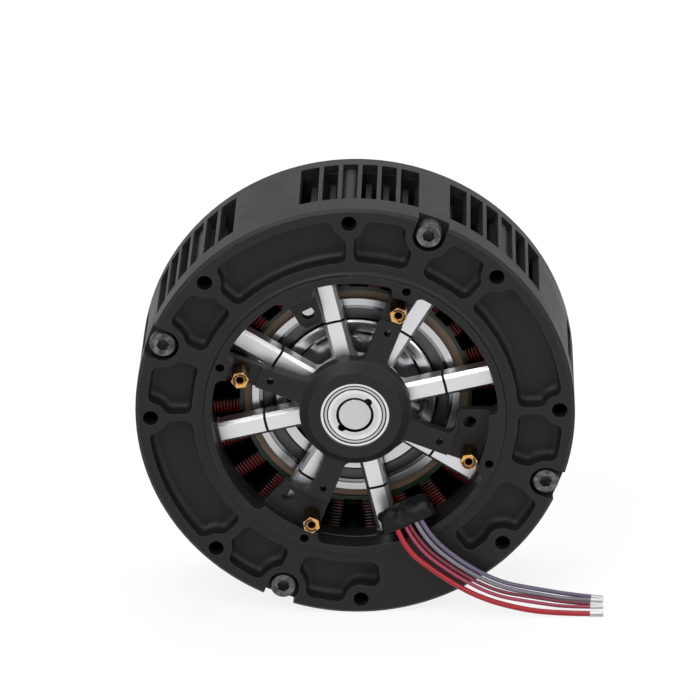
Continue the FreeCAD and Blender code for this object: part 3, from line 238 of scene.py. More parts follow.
def edge_group():
    """Mask for a painted highlight that is 1 along convex edges and breaks up a little."""
    group, given, result = new_group(
        "painted_edge_highlight", [("Width", 0.0003), ("Amount", 1.0)],
        [("Mask", "NodeSocketFloat"), ("Soft Normal", "NodeSocketVector")])
    soft = group.nodes.new("ShaderNodeBevel")
    soft.samples = 4
    plain = group.nodes.new("ShaderNodeNewGeometry")
    dot = group.nodes.new("ShaderNodeVectorMath")
    dot.operation = "DOT_PRODUCT"
    place = group.nodes.new("ShaderNodeTexCoord")
    noise = group.nodes.new("ShaderNodeTexNoise")
    noise.inputs["Scale"].default_value = 420
    noise.inputs["Detail"].default_value = 4
    fall = group.nodes.new("ShaderNodeMapRange")
    fall.inputs["From Min"].default_value = 0.995
    fall.inputs["From Max"].default_value = 0.80
    broken = group.nodes.new("ShaderNodeMapRange")
    broken.inputs["From Min"].default_value = 0.30
    broken.inputs["From Max"].default_value = 0.62
    both = group.nodes.new("ShaderNodeMath")
    both.operation = "MULTIPLY"
    scaled = group.nodes.new("ShaderNodeMath")
    scaled.operation = "MULTIPLY"
    link = group.links.new
    link(given.outputs["Width"], soft.inputs["Radius"])
    link(soft.outputs["Normal"], dot.inputs[0])
    link(plain.outputs["Normal"], dot.inputs[1])
    link(dot.outputs["Value"], fall.inputs["Value"])
    link(place.outputs["Object"], noise.inputs["Vector"])
    link(noise.outputs["Fac"], broken.inputs["Value"])
    link(fall.outputs["Result"], both.inputs[0])
    link(broken.outputs["Result"], both.inputs[1])
    link(both.outputs[0], scaled.inputs[0])
    link(given.outputs["Amount"], scaled.inputs[1])
    link(scaled.outputs[0], result.inputs["Mask"])
    link(soft.outputs["Normal"], result.inputs["Soft Normal"])
    return group


def radius_group():
    """Mask that is 1 inside a radius round the output axis."""
    group, given, result = new_group(
        "inside_radius", [("Radius", 0.03), ("Softness", 0.0001)], [("Mask", "NodeSocketFloat")])
    place = group.nodes.new("ShaderNodeTexCoord")
    flat = group.nodes.new("ShaderNodeVectorMath")
    flat.operation = "MULTIPLY"
    flat.inputs[1].default_value = (1, 0, 1)
    radius = group.nodes.new("ShaderNodeVectorMath")
    radius.operation = "LENGTH"
    short = group.nodes.new("ShaderNodeMath")
    short.operation = "SUBTRACT"
    share = group.nodes.new("ShaderNodeMath")
    share.operation = "DIVIDE"
    share.use_clamp = True
    link = group.links.new
    link(place.outputs["Object"], flat.inputs[0])
    link(flat.outputs[0], radius.inputs[0])
    link(given.outputs["Radius"], short.inputs[0])
    link(radius.outputs["Value"], short.inputs[1])
    link(short.outputs[0], share.inputs[0])
    link(given.outputs["Softness"], share.inputs[1])
    link(share.outputs[0], result.inputs["Mask"])
    return group


def depth_group():
    """Mask that is 1 nearer to the open side than a place along the output axis."""
    group, given, result = new_group(
        "nearer_than", [("Place", REAR), ("Softness", 0.00005)], [("Mask", "NodeSocketFloat")])
    place = group.nodes.new("ShaderNodeTexCoord")
    split = group.nodes.new("ShaderNodeSeparateXYZ")
    short = group.nodes.new("ShaderNodeMath")
    short.operation = "SUBTRACT"
    share = group.nodes.new("ShaderNodeMath")
    share.operation = "DIVIDE"
    share.use_clamp = True
    link = group.links.new
    link(place.outputs["Object"], split.inputs[0])
    link(given.outputs["Place"], short.inputs[0])
    link(split.outputs["Y"], short.inputs[1])
    link(short.outputs[0], share.inputs[0])
    link(given.outputs["Softness"], share.inputs[1])
    link(share.outputs[0], result.inputs["Mask"])
    return group


GRAIN = grain_group()
TURNING = turning_group()
EDGE = edge_group()
INSIDE = radius_group()
NEARER = depth_group()


def placed(material, group, **values):
    node = material.node_tree.nodes.new("ShaderNodeGroup")
    node.node_tree = group
    for label, value in values.items():
        node.inputs[label.replace("_", " ")].default_value = value
    return node


def mixed(material, mask, first, second):
    """Colour between two tones or two colour sockets, by a mask."""
    node = material.node_tree.nodes.new("ShaderNodeMix")
    node.data_type = "RGBA"
    colours = [socket for socket in node.inputs if socket.type == "RGBA"]
    for socket, colour in zip(colours, (first, second)):
        if isinstance(colour, tuple):
            socket.default_value = colour
        else:
            material.node_tree.links.new(colour, socket)
    material.node_tree.links.new(mask, node.inputs["Factor"])
    return [socket for socket in node.outputs if socket.type == "RGBA"][0]


def between(material, mask, first, second):
    """Number between two numbers or number sockets, by a mask."""
    node = material.node_tree.nodes.new("ShaderNodeMix")
    for label, number in (("A", first), ("B", second)):
        if isinstance(number, (int, float)):
            node.inputs[label].default_value = number
        else:
            material.node_tree.links.new(number, node.inputs[label])
    material.node_tree.links.new(mask, node.inputs["Factor"])
    return node.outputs["Result"]


def ranged(material, value, low, high, start=0.3, end=0.7):
    node = material.node_tree.nodes.new("ShaderNodeMapRange")
    node.inputs["From Min"].default_value = start
    node.inputs["From Max"].default_value = end
    node.inputs["To Min"].default_value = low
    node.inputs["To Max"].default_value = high
    material.node_tree.links.new(value, node.inputs["Value"])
    return node.outputs["Result"]


def bumped(material, height, distance, strength=1.0, soft=None):
    node = material.node_tree.nodes.new("ShaderNodeBump")
    if soft:
        material.node_tree.links.new(soft, node.inputs["Normal"])
    node.inputs["Strength"].default_value = strength
    node.inputs["Distance"].default_value = distance
    material.node_tree.links.new(height, node.inputs["Height"])
    material.node_tree.links.new(node.outputs["Normal"],
                                 material.node_tree.nodes["Principled BSDF"].inputs["Normal"])


def band(material, inner, outer):
    """Mask of a ring between two radii in millimetres."""
    wide = placed(material, INSIDE, Radius=outer * MM, Softness=0.00008)
    narrow = placed(material, INSIDE, Radius=inner * MM, Softness=0.00008)
    rest = material.node_tree.nodes.new("ShaderNodeMath")
    rest.operation = "SUBTRACT"
    material.node_tree.links.new(wide.outputs["Mask"], rest.inputs[0])
    material.node_tree.links.new(narrow.outputs["Mask"], rest.inputs[1])
    return rest.outputs[0]


def new_material(name, **sockets):
    material = bpy.data.materials.new(name)
    material.use_nodes = True
    shader = material.node_tree.nodes["Principled BSDF"]
    for label, value in sockets.items():
        shader.inputs[label.replace("_", " ")].default_value = value
    return material, shader, material.node_tree.links.new


# ---- materials -------------------------------------------------------------------------
def anodised_black(name="black_anodised", bare_r=None):
    """Blasted and black anodised aluminium; inside bare_r it is turned and left bare."""
    material, shader, link = new_material(name, Specular_IOR_Level=0.25)
    grain = placed(material, GRAIN, Scale=2400.0, Blotch_Scale=70.0)
    edge = placed(material, EDGE, Width=0.00022, Amount=0.8)
    body = mixed(material, grain.outputs["Blotches"], tone(16, 16, 17), tone(24, 24, 25))
    # painted highlight: convex edges are lightened to a light grey
    colour = mixed(material, edge.outputs["Mask"], body, tone(88, 88, 90))
    rough = ranged(material, grain.outputs["Blotches"], 0.46, 0.58)
    if bare_r:
        bare = placed(material, INSIDE, Radius=bare_r * MM, Softness=0.00005)
        marks = placed(material, TURNING, Scale=5200.0)
        metal = mixed(material, marks.outputs["Bands"], tone(176, 176, 178), tone(206, 206, 208))
        colour = mixed(material, bare.outputs["Mask"], colour, metal)
        rough = between(material, bare.outputs["Mask"], rough, 0.3)
        link(bare.outputs["Mask"], shader.inputs["Metallic"])
    link(colour, shader.inputs["Base Color"])
    link(rough, shader.inputs["Roughness"])
    bumped(material, grain.outputs["Height"], 0.00003, 0.5, edge.outputs["Soft Normal"])
    return material


def turned_metal(name, dark, light, low, high, scale=5200.0, depth=0.00002):
    """Turned or ground metal: rings of tool marks round the output axis."""
    material, shader, link = new_material(name, Metallic=1.0)
    marks = placed(material, TURNING, Scale=scale)
    link(mixed(material, marks.outputs["Bands"], dark, light), shader.inputs["Base Color"])
    link(ranged(material, marks.outputs["Bands"], low, high), shader.inputs["Roughness"])
    edge = placed(material, EDGE, Width=0.00014)
    bumped(material, marks.outputs["Height"], depth, 0.4, edge.outputs["Soft Normal"])
    return material


def grained_metal(name, dark, light, low, high, scale=1500.0, blotch=160.0, depth=0.00002):
    """Metal with an even grain."""
    material, shader, link = new_material(name, Metallic=1.0)
    grain = placed(material, GRAIN, Scale=scale, Blotch_Scale=blotch)
    link(mixed(material, grain.outputs["Blotches"], dark, light), shader.inputs["Base Color"])
    link(ranged(material, grain.outputs["Blotches"], low, high), shader.inputs["Roughness"])
    edge = placed(material, EDGE, Width=0.00014)
    bumped(material, grain.outputs["Height"], depth, 0.4, edge.outputs["Soft Normal"])
    return material


def moulded(name, dark, light, low, high, specular=0.4, scale=1200.0, blotch=120.0,
            depth=0.00003):
    """Plastic, rubber, varnish or enamel."""
    material, shader, link = new_material(name, Metallic=0.0, Specular_IOR_Level=specular)
    grain = placed(material, GRAIN, Scale=scale, Blotch_Scale=blotch)
    link(mixed(material, grain.outputs["Blotches"], dark, light), shader.inputs["Base Color"])
    link(ranged(material, grain.outputs["Blotches"], low, high), shader.inputs["Roughness"])
    edge = placed(material, EDGE, Width=0.00014)
    bumped(material, grain.outputs["Height"], depth, 0.4, edge.outputs["Soft Normal"])
    return material


def screw_black():
    """Black oxide screw: the top of the head is a mottled lighter grey, the socket stays dark."""
    material, shader, link = new_material("black_screw", Specular_IOR_Level=0.4)
    grain = placed(material, GRAIN, Scale=1500.0, Blotch_Scale=520.0)
    top = placed(material, NEARER, Place=REAR + 0.00062, Softness=0.00004)
    edge = placed(material, EDGE, Width=0.00020, Amount=1.0)
    mottled_top = mixed(material, ranged(material, grain.outputs["Blotches"], 0.0, 1.0, 0.40, 0.62),
                   tone(34, 34, 35), tone(92, 92, 94))
    body = mixed(material, grain.outputs["Blotches"], tone(18, 18, 19), tone(30, 30, 31))
    colour = mixed(material, top.outputs["Mask"], body, mottled_top)
    # painted highlight: convex edges of the screw are lightened to grey
    link(mixed(material, edge.outputs["Mask"], colour, tone(128, 128, 130)),
         shader.inputs["Base Color"])
    link(ranged(material, grain.outputs["Blotches"], 0.28, 0.44), shader.inputs["Roughness"])
    bumped(material, grain.outputs["Height"], 0.00002, 0.4, edge.outputs["Soft Normal"])
    return material


def machined_spokes():
    """Bright spokes with a dark turned groove; the bell's rim behind the land is dark."""
    material, shader, link = new_material("machined_spokes")
    grain = placed(material, GRAIN, Scale=1500.0, Blotch_Scale=110.0)
    edge = placed(material, EDGE, Width=0.00020)
    face = placed(material, INSIDE, Radius=36.9 * MM, Softness=0.0006)
    groove = band(material, 23.9, 24.6)
    metal = mixed(material, grain.outputs["Blotches"], tone(205, 205, 207), tone(226, 226, 228))
    metal = mixed(material, groove, metal, tone(34, 34, 35))
    link(mixed(material, face.outputs["Mask"], tone(26, 26, 27), metal),
         shader.inputs["Base Color"])
    link(face.outputs["Mask"], shader.inputs["Metallic"])
    link(ranged(material, grain.outputs["Blotches"], 0.34, 0.44), shader.inputs["Roughness"])
    bumped(material, grain.outputs["Height"], 0.00002, 0.4, edge.outputs["Soft Normal"])
    return material


def shaft_end():
    """Ground end of the shaft; the cup for the encoder magnet is painted dark as shade."""
    material, shader, link = new_material("shaft_end", Metallic=1.0)
    marks = placed(material, TURNING, Scale=5200.0)
    face = placed(material, NEARER, Place=REAR - 0.3 * MM, Softness=0.00005)
    metal = mixed(material, marks.outputs["Bands"], tone(190, 190, 192), tone(212, 212, 214))
    # painted shade: deeper than the end face, the cup is dark grey
    link(mixed(material, face.outputs["Mask"], tone(30, 30, 31), metal),
         shader.inputs["Base Color"])
    link(ranged(material, marks.outputs["Bands"], 0.26, 0.36), shader.inputs["Roughness"])
    edge = placed(material, EDGE, Width=0.00010)
    bumped(material, marks.outputs["Height"], 0.00002, 0.4, edge.outputs["Soft Normal"])
    return material


def turned_brass():
    """Bright brass ends over darker flats, painted dark brown as shade and as the reflection of the
    dark housing.
    """
    material, shader, link = new_material("brass", Metallic=1.0)
    grain = placed(material, GRAIN, Scale=1500.0, Blotch_Scale=160.0)
    edge = placed(material, EDGE, Width=0.00014)
    end = placed(material, NEARER, Place=REAR - 4.4 * MM, Softness=0.0002)
    bright = mixed(material, grain.outputs["Blotches"], tone(200, 146, 80), tone(230, 180, 112))
    # painted shade: the flats behind the ends are dark brown
    painted_dark_flats = mixed(material, grain.outputs["Blotches"], tone(84, 56, 26), tone(118, 82, 40))
    link(mixed(material, end.outputs["Mask"], painted_dark_flats, bright), shader.inputs["Base Color"])
    link(ranged(material, grain.outputs["Blotches"], 0.22, 0.34), shader.inputs["Roughness"])
    bumped(material, grain.outputs["Height"], 0.00002, 0.4, edge.outputs["Soft Normal"])
    return material


def bearing_shield():
    """Bright shield with a dark gap at each edge."""
    material, shader, link = new_material("bearing_shield", Metallic=1.0)
    marks = placed(material, TURNING, Scale=5200.0)
    metal = mixed(material, marks.outputs["Bands"], tone(176, 176, 178), tone(204, 204, 206))
    metal = mixed(material, band(material, 7.98, 8.4), metal, tone(12, 12, 13))
    metal = mixed(material, band(material, 7.0, 7.4), metal, tone(12, 12, 13))
    link(metal, shader.inputs["Base Color"])
    link(ranged(material, marks.outputs["Bands"], 0.26, 0.38), shader.inputs["Roughness"])
    edge = placed(material, EDGE, Width=0.00010)
    bumped(material, marks.outputs["Height"], 0.00002, 0.4, edge.outputs["Soft Normal"])
    return material


def varnished_core():
    """Tan varnish on the yoke's face; the teeth beyond it are painted nearly black as shade inside
    the drum.
    """
    material, shader, link = new_material("stator_core", Specular_IOR_Level=0.35)
    grain = placed(material, GRAIN, Scale=900.0, Blotch_Scale=150.0)
    yoke = placed(material, INSIDE, Radius=30.7 * MM, Softness=0.0002)
    tan = mixed(material, grain.outputs["Blotches"], tone(96, 79, 65), tone(126, 107, 90))
    # painted shade: beyond the yoke's face the teeth are nearly black
    link(mixed(material, yoke.outputs["Mask"], tone(18, 16, 15), tan),
         shader.inputs["Base Color"])
    link(ranged(material, grain.outputs["Blotches"], 0.45, 0.60), shader.inputs["Roughness"])
    bumped(material, grain.outputs["Height"], 0.00003, 0.4)
    return material


def enamelled_wire():
    """Dark red enamel that shows its colour only on the near ends of the turns; deeper in it is
    painted nearly black as shade inside the drum.
    """
    material, shader, link = new_material("enamelled_wire", Specular_IOR_Level=0.22)
    grain = placed(material, GRAIN, Scale=900.0, Blotch_Scale=70.0)
    unshaded_near_ends = placed(material, NEARER, Place=REAR + 13.05 * MM, Softness=0.0004)
    red = mixed(material, ranged(material, grain.outputs["Blotches"], 0.0, 1.0, 0.40, 0.60),
                tone(18, 4, 4), tone(88, 12, 12))
    # painted shade: deeper than the near ends the turns are nearly black
    link(mixed(material, unshaded_near_ends.outputs["Mask"], tone(12, 4, 4), red),
         shader.inputs["Base Color"])
    link(ranged(material, grain.outputs["Blotches"], 0.24, 0.36), shader.inputs["Roughness"])
    bumped(material, grain.outputs["Height"], 0.00002, 0.3)
    return material


def shrunk_sleeve():
    """Black shrink sleeve with fine creases across it."""
    material, shader, link = new_material("black_sleeve", Specular_IOR_Level=0.18)
    grain = placed(material, GRAIN, Scale=420.0, Blotch_Scale=180.0)
    link(mixed(material, grain.outputs["Blotches"], tone(5, 5, 6), tone(15, 15, 16)),
         shader.inputs["Base Color"])
    link(ranged(material, grain.outputs["Blotches"], 0.42, 0.62), shader.inputs["Roughness"])
    bumped(material, grain.outputs["Height"], 0.00022, 0.6)
    return material


BLACK = anodised_black()
BLACK_AND_BARE = anodised_black("anodised_and_bored", 27.6)
BRIGHT = machined_spokes()
RACE = turned_metal("bearing_race", tone(205, 205, 207), tone(228, 228, 230), 0.16, 0.26)
SHIELD = bearing_shield()
SHAFT_END = shaft_end()
COLLAR = turned_metal("ground_collar", tone(66, 66, 68), tone(88, 88, 90), 0.34, 0.46, 2600.0)
GEAR = turned_metal("gear_steel", tone(110, 110, 112), tone(168, 168, 170), 0.20, 0.38, 2600.0)
PLATE = turned_metal("dished_plate", tone(150, 150, 152), tone(222, 222, 224), 0.12, 0.30, 1500.0)
FLANGE = turned_metal("turned_flange", tone(104, 104, 107), tone(146, 146, 149), 0.30, 0.42, 2600.0)
SCREW = screw_black()
COVER_SCREW = moulded("black_oxide", tone(22, 22, 23), tone(44, 44, 46), 0.30, 0.46, 0.5)
TIN = grained_metal("tinned_strands", tone(150, 150, 152), tone(190, 190, 192), 0.30, 0.45)
BRASS = turned_brass()
# painted shade: dark brown for the walls of the standoffs' bores
BORE_SHADE = moulded("painted_bore_shade", tone(16, 10, 5), tone(60, 38, 16), 0.40, 0.55, 0.4, 1200.0, 900.0)
BRONZE = grained_metal("bronze", tone(160, 118, 70), tone(184, 140, 86), 0.35, 0.50)
CORE = varnished_core()
GREEN = moulded("insulator", tone(12, 26, 14), tone(24, 46, 26), 0.35, 0.50)
ENAMEL = enamelled_wire()
MAGNET = grained_metal("magnet_plating", tone(184, 184, 186), tone(204, 204, 206), 0.34, 0.46)
IRON = grained_metal("back_iron", tone(58, 58, 60), tone(76, 76, 78), 0.40, 0.55)
SLEEVE = shrunk_sleeve()
LEAD_FINISH = {
    "lead_red": moulded("red_insulation", tone(132, 10, 24), tone(156, 18, 34), 0.28, 0.38),
    "lead_pink": moulded("pink_insulation", tone(128, 36, 60), tone(150, 50, 76), 0.24, 0.34),
    "lead_crimson": moulded("crimson_insulation", tone(86, 14, 30), tone(108, 22, 40), 0.24, 0.34),
    "lead_grey": moulded("grey_insulation", tone(96, 90, 102), tone(116, 110, 122), 0.24, 0.34),
    "lead_violet": moulded("violet_insulation", tone(74, 66, 86), tone(94, 86, 106), 0.24, 0.34),
}
CAD_FINISH = {
    "rear_housing": BLACK, "base_housing": BLACK_AND_BARE, "bearing_cover": BLACK,
    "housing_screws": SCREW, "cover_screws": COVER_SCREW, "output_screws": COVER_SCREW,
    "driver_standoffs": BRASS, "rear_bearing_outer": RACE, "rear_bearing_inner": RACE,
    "rear_bearing_shields": SHIELD, "front_bearing_outer": RACE, "front_bearing_inner": RACE,
    "front_bearing_shields": SHIELD, "output_bearing_outer": RACE,
    "output_bearing_inner": RACE, "output_bearing_rollers": RACE, "ring_gear": GEAR,
    "stator_core": CORE, "stator_insulator": GREEN, "stator_coils": ENAMEL,
    "rotor_bell": BRIGHT, "rotor_back_iron": IRON, "rotor_magnets": MAGNET,
    "sun_shaft": SHAFT_END, "encoder_magnet": MAGNET, "carrier_rear_plate": PLATE,
    "carrier_front_plate": GEAR, "planet_pins": RACE, "output_flange": FLANGE,
    "lead_boot": SLEEVE, "lead_harness": SLEEVE,
    "planet_gear_1": GEAR, "planet_gear_2": GEAR, "planet_gear_3": GEAR,
    "planet_bush_1": BRONZE, "planet_bush_2": BRONZE, "planet_bush_3": BRONZE,
}


def dress_frame():
    for name, finish in (*CAD_FINISH.items(), *LEAD_FINISH.items()):
        mesh = nodes[name].data
        mesh.materials.clear()
        mesh.materials.append(finish)


# ---- modelling helpers -----------------------------------------------------------------
def nothing_selected():
    bpy.ops.object.select_all(action="DESELECT")


def edit():
    bpy.ops.object.mode_set(mode="EDIT")


def leave_edit():
    bpy.ops.object.mode_set(mode="OBJECT")


def select(kind, wanted):
    """Selects the vertices, edges or faces of the piece being edited that pass a test."""
    piece = bpy.context.object
    edit()
    bpy.ops.mesh.select_mode(type=kind)
    bpy.ops.mesh.select_all(action="DESELECT")
    leave_edit()
    mesh = piece.data
    if kind == "VERT":
        for vertex in mesh.vertices:
            vertex.select = wanted(vertex.co)
    elif kind == "FACE":
        for face in mesh.polygons:
            face.select = wanted(face.center, face.normal)
    edit()


def made_active(piece):
    nothing_selected()
    piece.select_set(True)
    bpy.context.view_layer.objects.active = piece


def bake_place(piece):
    made_active(piece)
    bpy.ops.object.transform_apply(location=True, rotation=True, scale=True)


def finished(piece, name, finish, body, replaced=(), smooth=35):
    """Names a piece, gives it its finish, shading and body."""
    piece.name = name
    if finish:
        piece.data.materials.clear()
        piece.data.materials.append(finish)
    bake_place(piece)
    bpy.ops.object.shade_smooth_by_angle(angle=math.radians(smooth))
    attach(piece, body)
    if replaced:
        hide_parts(*replaced)
    return piece


def modifier(piece, kind, **settings):
    """Adds a modifier and applies it at once."""
    made_active(piece)
    bpy.ops.object.modifier_add(type=kind)
    added = piece.modifiers[-1]
    for label, value in settings.items():
        setattr(added, label, value)
    bpy.ops.object.modifier_apply(modifier=added.name)


def joined(pieces):
    nothing_selected()
    for piece in pieces:
        piece.select_set(True)
    bpy.context.view_layer.objects.active = pieces[0]
    bpy.ops.object.join()
    return bpy.context.object


def copied_round(piece, angles):
    """Copies of a piece round the output axis, joined into one."""
    made = []
    for angle in angles:
        made_active(piece)
        bpy.ops.object.duplicate()
        copy = bpy.context.object
        copy.rotation_euler = (0, -math.radians(angle), 0)
        bake_place(copy)
        made.append(copy)
    bpy.data.objects.remove(piece)
    return joined(made)


def across(radius, near, far, centre_r=0.0, sides=48):
    """Round or many-sided bar along the output axis, between two depths."""
    nothing_selected()
    bpy.ops.mesh.primitive_cylinder_add(
        vertices=sides, radius=radius * MM, depth=(far - near) * MM,
        location=spot(centre_r, 0, (near + far) / 2), rotation=(math.pi / 2, 0, 0))
    bar = bpy.context.object
    bake_place(bar)
    return bar


def bevelled(piece, wanted, offset, segments=2):
    """Bevels the edges whose ends both pass a test."""
    made_active(piece)
    select("VERT", wanted)
    bpy.ops.mesh.select_mode(type="EDGE")
    bpy.ops.mesh.bevel(offset=offset * MM, segments=segments, affect="EDGES")
    leave_edit()


def combined(piece, other, operation):
    """Boolean of two pieces; the second one is used up."""
    modifier(piece, "BOOLEAN", object=other, operation=operation, solver="EXACT")
    bpy.data.objects.remove(other)
    return piece


def ring_of(inner, outer, near, far, edge):
    """Ring turned from a section with bevelled corners."""
    nothing_selected()
    middle = spot((inner + outer) / 2, 0, (near + far) / 2)
    bpy.ops.mesh.primitive_plane_add(size=1, location=middle)
    section = bpy.context.object
    section.scale = ((outer - inner) * MM, (far - near) * MM, 1)
    bake_place(section)
    edit()
    bpy.ops.mesh.select_all(action="SELECT")
    bpy.ops.mesh.bevel(offset=edge * MM, segments=2, affect="VERTICES")
    bpy.ops.mesh.select_all(action="SELECT")
    bpy.ops.mesh.delete(type="ONLY_FACE")
    bpy.ops.mesh.select_all(action="SELECT")
    bpy.ops.mesh.spin(steps=144, angle=2 * math.pi, center=(0, 0, 0), axis=(0, 1, 0))
    bpy.ops.mesh.select_all(action="SELECT")
    bpy.ops.mesh.remove_doubles(threshold=1e-7)
    bpy.ops.mesh.normals_make_consistent(inside=False)
    leave_edit()
    return section


# ---- fasteners on the rear -------------------------------------------------------------
def housing_screws():
    """Four M4 socket screws with knurled heads."""
    head = across(HEAD_R, HEAD_RIM, HEAD_FAR, SCREW_R, 72)
    centre = spot(SCREW_R, 0, 0)
    select("FACE", lambda place, normal: normal.y < -0.9)
    bpy.ops.mesh.extrude_region_move(TRANSFORM_OT_translate={"value": (0, -HEAD_SLOPE * MM, 0)})
    bpy.ops.transform.resize(value=(0.87, 1, 0.87), center_override=centre)
    leave_edit()

    def groove(co):
        turn = math.atan2(co.z - centre.z, co.x - centre.x)
        return co.y > REAR + 0.9 * MM and round(turn / math.radians(KNURL_STEP)) % 2 == 1

    select("VERT", groove)
    bpy.ops.transform.resize(value=(0.955, 1, 0.955), center_override=centre)
    leave_edit()
    combined(head, across(KEY_CORNER_R, -0.5, 2.7, SCREW_R, 6), "DIFFERENCE")
    shank = across(SHANK_R, HEAD_FAR, SHANK_FAR, SCREW_R, 32)
    tip = across(TIP_R, SHANK_FAR, TIP_FAR, SCREW_R, 32)
    bevelled(tip, lambda co: co.y > REAR + 36 * MM, 0.4)
    ring = copied_round(joined([head, shank, tip]), ARMS)
    return finished(ring, "socket_screws", SCREW, "housing", ["housing_screws"])


def driver_standoffs():
    """Four brass hexagons with turned ends and a drilled bore."""
    post = across(POST_CORNER_R, POST_TOP, POST_FOOT, POST_R, 6)
    blank = across(POST_TURNED_R, POST_TOP, POST_FOOT, POST_R, 48)
    bevelled(blank, lambda co: True, 0.35, 1)
    combined(post, blank, "INTERSECT")
    mouth = across(POST_MOUTH_R, -5.8, -4.5, POST_R, 32)
    select("FACE", lambda place, normal: normal.y > 0.9)
    bpy.ops.mesh.inset(thickness=0.25 * MM)
    bpy.ops.mesh.extrude_region_move(TRANSFORM_OT_translate={"value": (0, 5.4 * MM, 0)})
    leave_edit()
    combined(post, mouth, "DIFFERENCE")
    stud = across(STUD_R, POST_FOOT, STUD_FAR, POST_R, 32)
    post = joined([post, stud])
    centre = spot(POST_R, 0, 0)
    post.data.materials.clear()
    for finish in (BRASS, BORE_SHADE):
        post.data.materials.append(finish)

    def in_bore(place, normal):
        out = Vector((place.x - centre.x, 0, place.z - centre.z))
        return out.length < 1.15 * MM and place.y < REAR + 1.5 * MM

    # painted shade: the bore's walls near its mouth take the dark bore finish
    select("FACE", in_bore)
    post.active_material_index = 1
    bpy.ops.object.material_slot_assign()
    leave_edit()
    ring = copied_round(post, ARMS)
    return finished(ring, "hex_standoffs", None, "housing", ["driver_standoffs"])


def gear_collar():
    """Smooth collar over the rear end of the ring gear's teeth."""
    collar = ring_of(21.6, 24.55, 13.82, 14.2, 0.12)
    return finished(collar, "ring_gear_collar", COLLAR, "housing")


def boot():
    """Shrunk sleeve over the leads: a main fold and a smaller one beside it."""
    made_active(nodes["lead_boot"])
    bpy.ops.object.duplicate()
    sleeve = bpy.context.object
    edit()
    bpy.ops.mesh.select_all(action="SELECT")
    bpy.ops.mesh.remove_doubles(threshold=1e-6)
    leave_edit()
    nothing_selected()
    bpy.ops.mesh.primitive_uv_sphere_add(segments=32, ring_count=16, radius=1,
                                         location=(8.6 * MM, REAR - 1.2 * MM, -29.0 * MM),
                                         rotation=(0, math.radians(20), 0))
    lobe = bpy.context.object
    lobe.scale = (2.1 * MM, 2.6 * MM, 3.0 * MM)
    bake_place(lobe)
    sleeve = joined([sleeve, lobe])
    modifier(sleeve, "REMESH", mode="VOXEL", voxel_size=0.35 * MM)
    modifier(sleeve, "SMOOTH", factor=0.6, iterations=10)
    folds = bpy.data.textures.new("sleeve_folds", "CLOUDS")
    folds.noise_scale = 0.0034
    folds.noise_depth = 1
    modifier(sleeve, "DISPLACE", texture=folds, strength=1.5 * MM, mid_level=0.5,
             texture_coords="LOCAL")
    creases = bpy.data.textures.new("sleeve_creases", "CLOUDS")
    creases.noise_scale = 0.0011
    modifier(sleeve, "DISPLACE", texture=creases, strength=0.35 * MM, mid_level=0.5,
             texture_coords="LOCAL")
    modifier(sleeve, "SMOOTH", factor=0.4, iterations=2)
    return finished(sleeve, "shrink_sleeve", SLEEVE, "housing", ["lead_boot"], 80)


# ---- windings --------------------------------------------------------------------------
def windings():
    """Twenty-four coils of thick enamelled wire, one layer of turns round each tooth."""
    turns = []
    for turn in range(TURNS):
        nothing_selected()
        radius = COIL_START_R + (turn + 0.5) * WIRE
        bpy.ops.mesh.primitive_torus_add(
            location=spot(radius, 0, COIL_DEPTH), rotation=(0, math.pi / 2, 0),
            major_segments=16, minor_segments=8, major_radius=TURN_BEND_R * MM,
            minor_radius=0.43 * MM)
        loop = bpy.context.object
        bake_place(loop)
        edit()
        bpy.ops.mesh.select_all(action="SELECT")
        bpy.ops.transform.rotate(value=math.radians(11.25), orient_axis="X",
                                 center_override=spot(radius, 0, COIL_DEPTH))
        half_length = COIL_HALF - TURN_BEND_R
        for side in (-1, 1):
            select("VERT", lambda co: (co.y - (REAR + COIL_DEPTH * MM)) * side > 0)
            bpy.ops.transform.translate(value=(0, side * half_length * MM, 0))
            select("VERT", lambda co: co.z * side > 0)
            bpy.ops.transform.translate(value=(0, 0, side * 0.78 * MM))
        leave_edit()
        turns.append(loop)
    coil = joined(turns)
    ring = copied_round(coil, [COIL_FIRST + 360 / COILS * i for i in range(COILS)])
    return finished(ring, "stator_windings", ENAMEL, "housing",
                    ["stator_coils"], 60)


# ---- studio ----------------------------------------------------------------------------
def add_light(name, location, size, energy, aim=(0, -0.02, 0)):
    lamp = bpy.data.lights.new(name, "AREA")
    lamp.shape = "RECTANGLE"
    lamp.size, lamp.size_y = size
    lamp.energy = energy
    light = bpy.data.objects.new(name, lamp)
    bpy.context.collection.objects.link(light)
    light.location = location
    light.rotation_euler = (Vector(aim) - light.location).to_track_quat("-Z", "Y").to_euler()


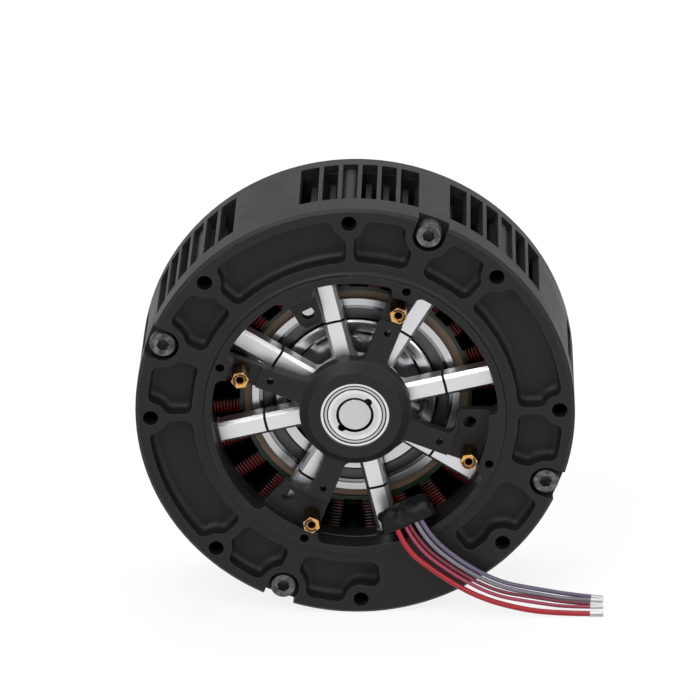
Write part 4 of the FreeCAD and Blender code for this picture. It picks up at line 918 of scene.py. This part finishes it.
def seen_directly(tree):
    """1 for rays from the camera, from a mirror-like surface or through glass."""
    path = tree.nodes.new("ShaderNodeLightPath")
    value = path.outputs["Is Camera Ray"]
    for label in ("Is Glossy Ray", "Is Transmission Ray"):
        most = tree.nodes.new("ShaderNodeMath")
        most.operation = "MAXIMUM"
        tree.links.new(value, most.inputs[0])
        tree.links.new(path.outputs[label], most.inputs[1])
        value = most.outputs[0]
    return value


def set_world():
    world = bpy.data.worlds.new("studio")
    bpy.context.scene.world = world
    world.use_nodes = True
    tree = world.node_tree
    tree.nodes.clear()
    out = tree.nodes.new("ShaderNodeOutputWorld")
    mix = tree.nodes.new("ShaderNodeMixShader")
    tree.links.new(seen_directly(tree), mix.inputs[0])
    for place, strength in ((1, 0.45), (2, 1.0)):
        sky = tree.nodes.new("ShaderNodeBackground")
        sky.inputs["Color"].default_value = (1, 1, 1, 1)
        sky.inputs["Strength"].default_value = strength
        tree.links.new(sky.outputs[0], mix.inputs[place])
    tree.links.new(mix.outputs[0], out.inputs[0])


def set_floor():
    nothing_selected()
    bpy.ops.mesh.primitive_plane_add(size=8, location=(0, 0, TABLE - 0.00002))
    floor = bpy.context.object
    floor.name = "studio_floor"
    material, shader, link = new_material("studio_floor", Roughness=0.9, Specular_IOR_Level=0.1)
    shader.inputs["Base Color"].default_value = (0.9, 0.9, 0.9, 1)
    tree = material.node_tree
    glow = tree.nodes.new("ShaderNodeEmission")
    share = tree.nodes.new("ShaderNodeMath")
    share.operation = "MULTIPLY"
    share.inputs[1].default_value = 0.85
    mix = tree.nodes.new("ShaderNodeMixShader")
    link(seen_directly(tree), share.inputs[0])
    link(share.outputs[0], mix.inputs[0])
    link(shader.outputs[0], mix.inputs[1])
    link(glow.outputs[0], mix.inputs[2])
    link(mix.outputs[0], tree.nodes["Material Output"].inputs["Surface"])
    floor.data.materials.append(material)


set_camera()
for lead_name, (diameter, length, route) in LEADS.items():
    lay_lead(lead_name, diameter, route, LEAD_FINISH[lead_name])
dress_frame()
windings()
housing_screws()
driver_standoffs()
gear_collar()
boot()
set_world()
set_floor()
add_light("key", (-0.5, -0.9, 1.2), (0.9, 0.9), 14)
add_light("fill", (0.9, -0.9, 0.6), (0.9, 0.9), 6)
add_light("top", (0.1, 0.3, 1.3), (1.0, 0.8), 10)
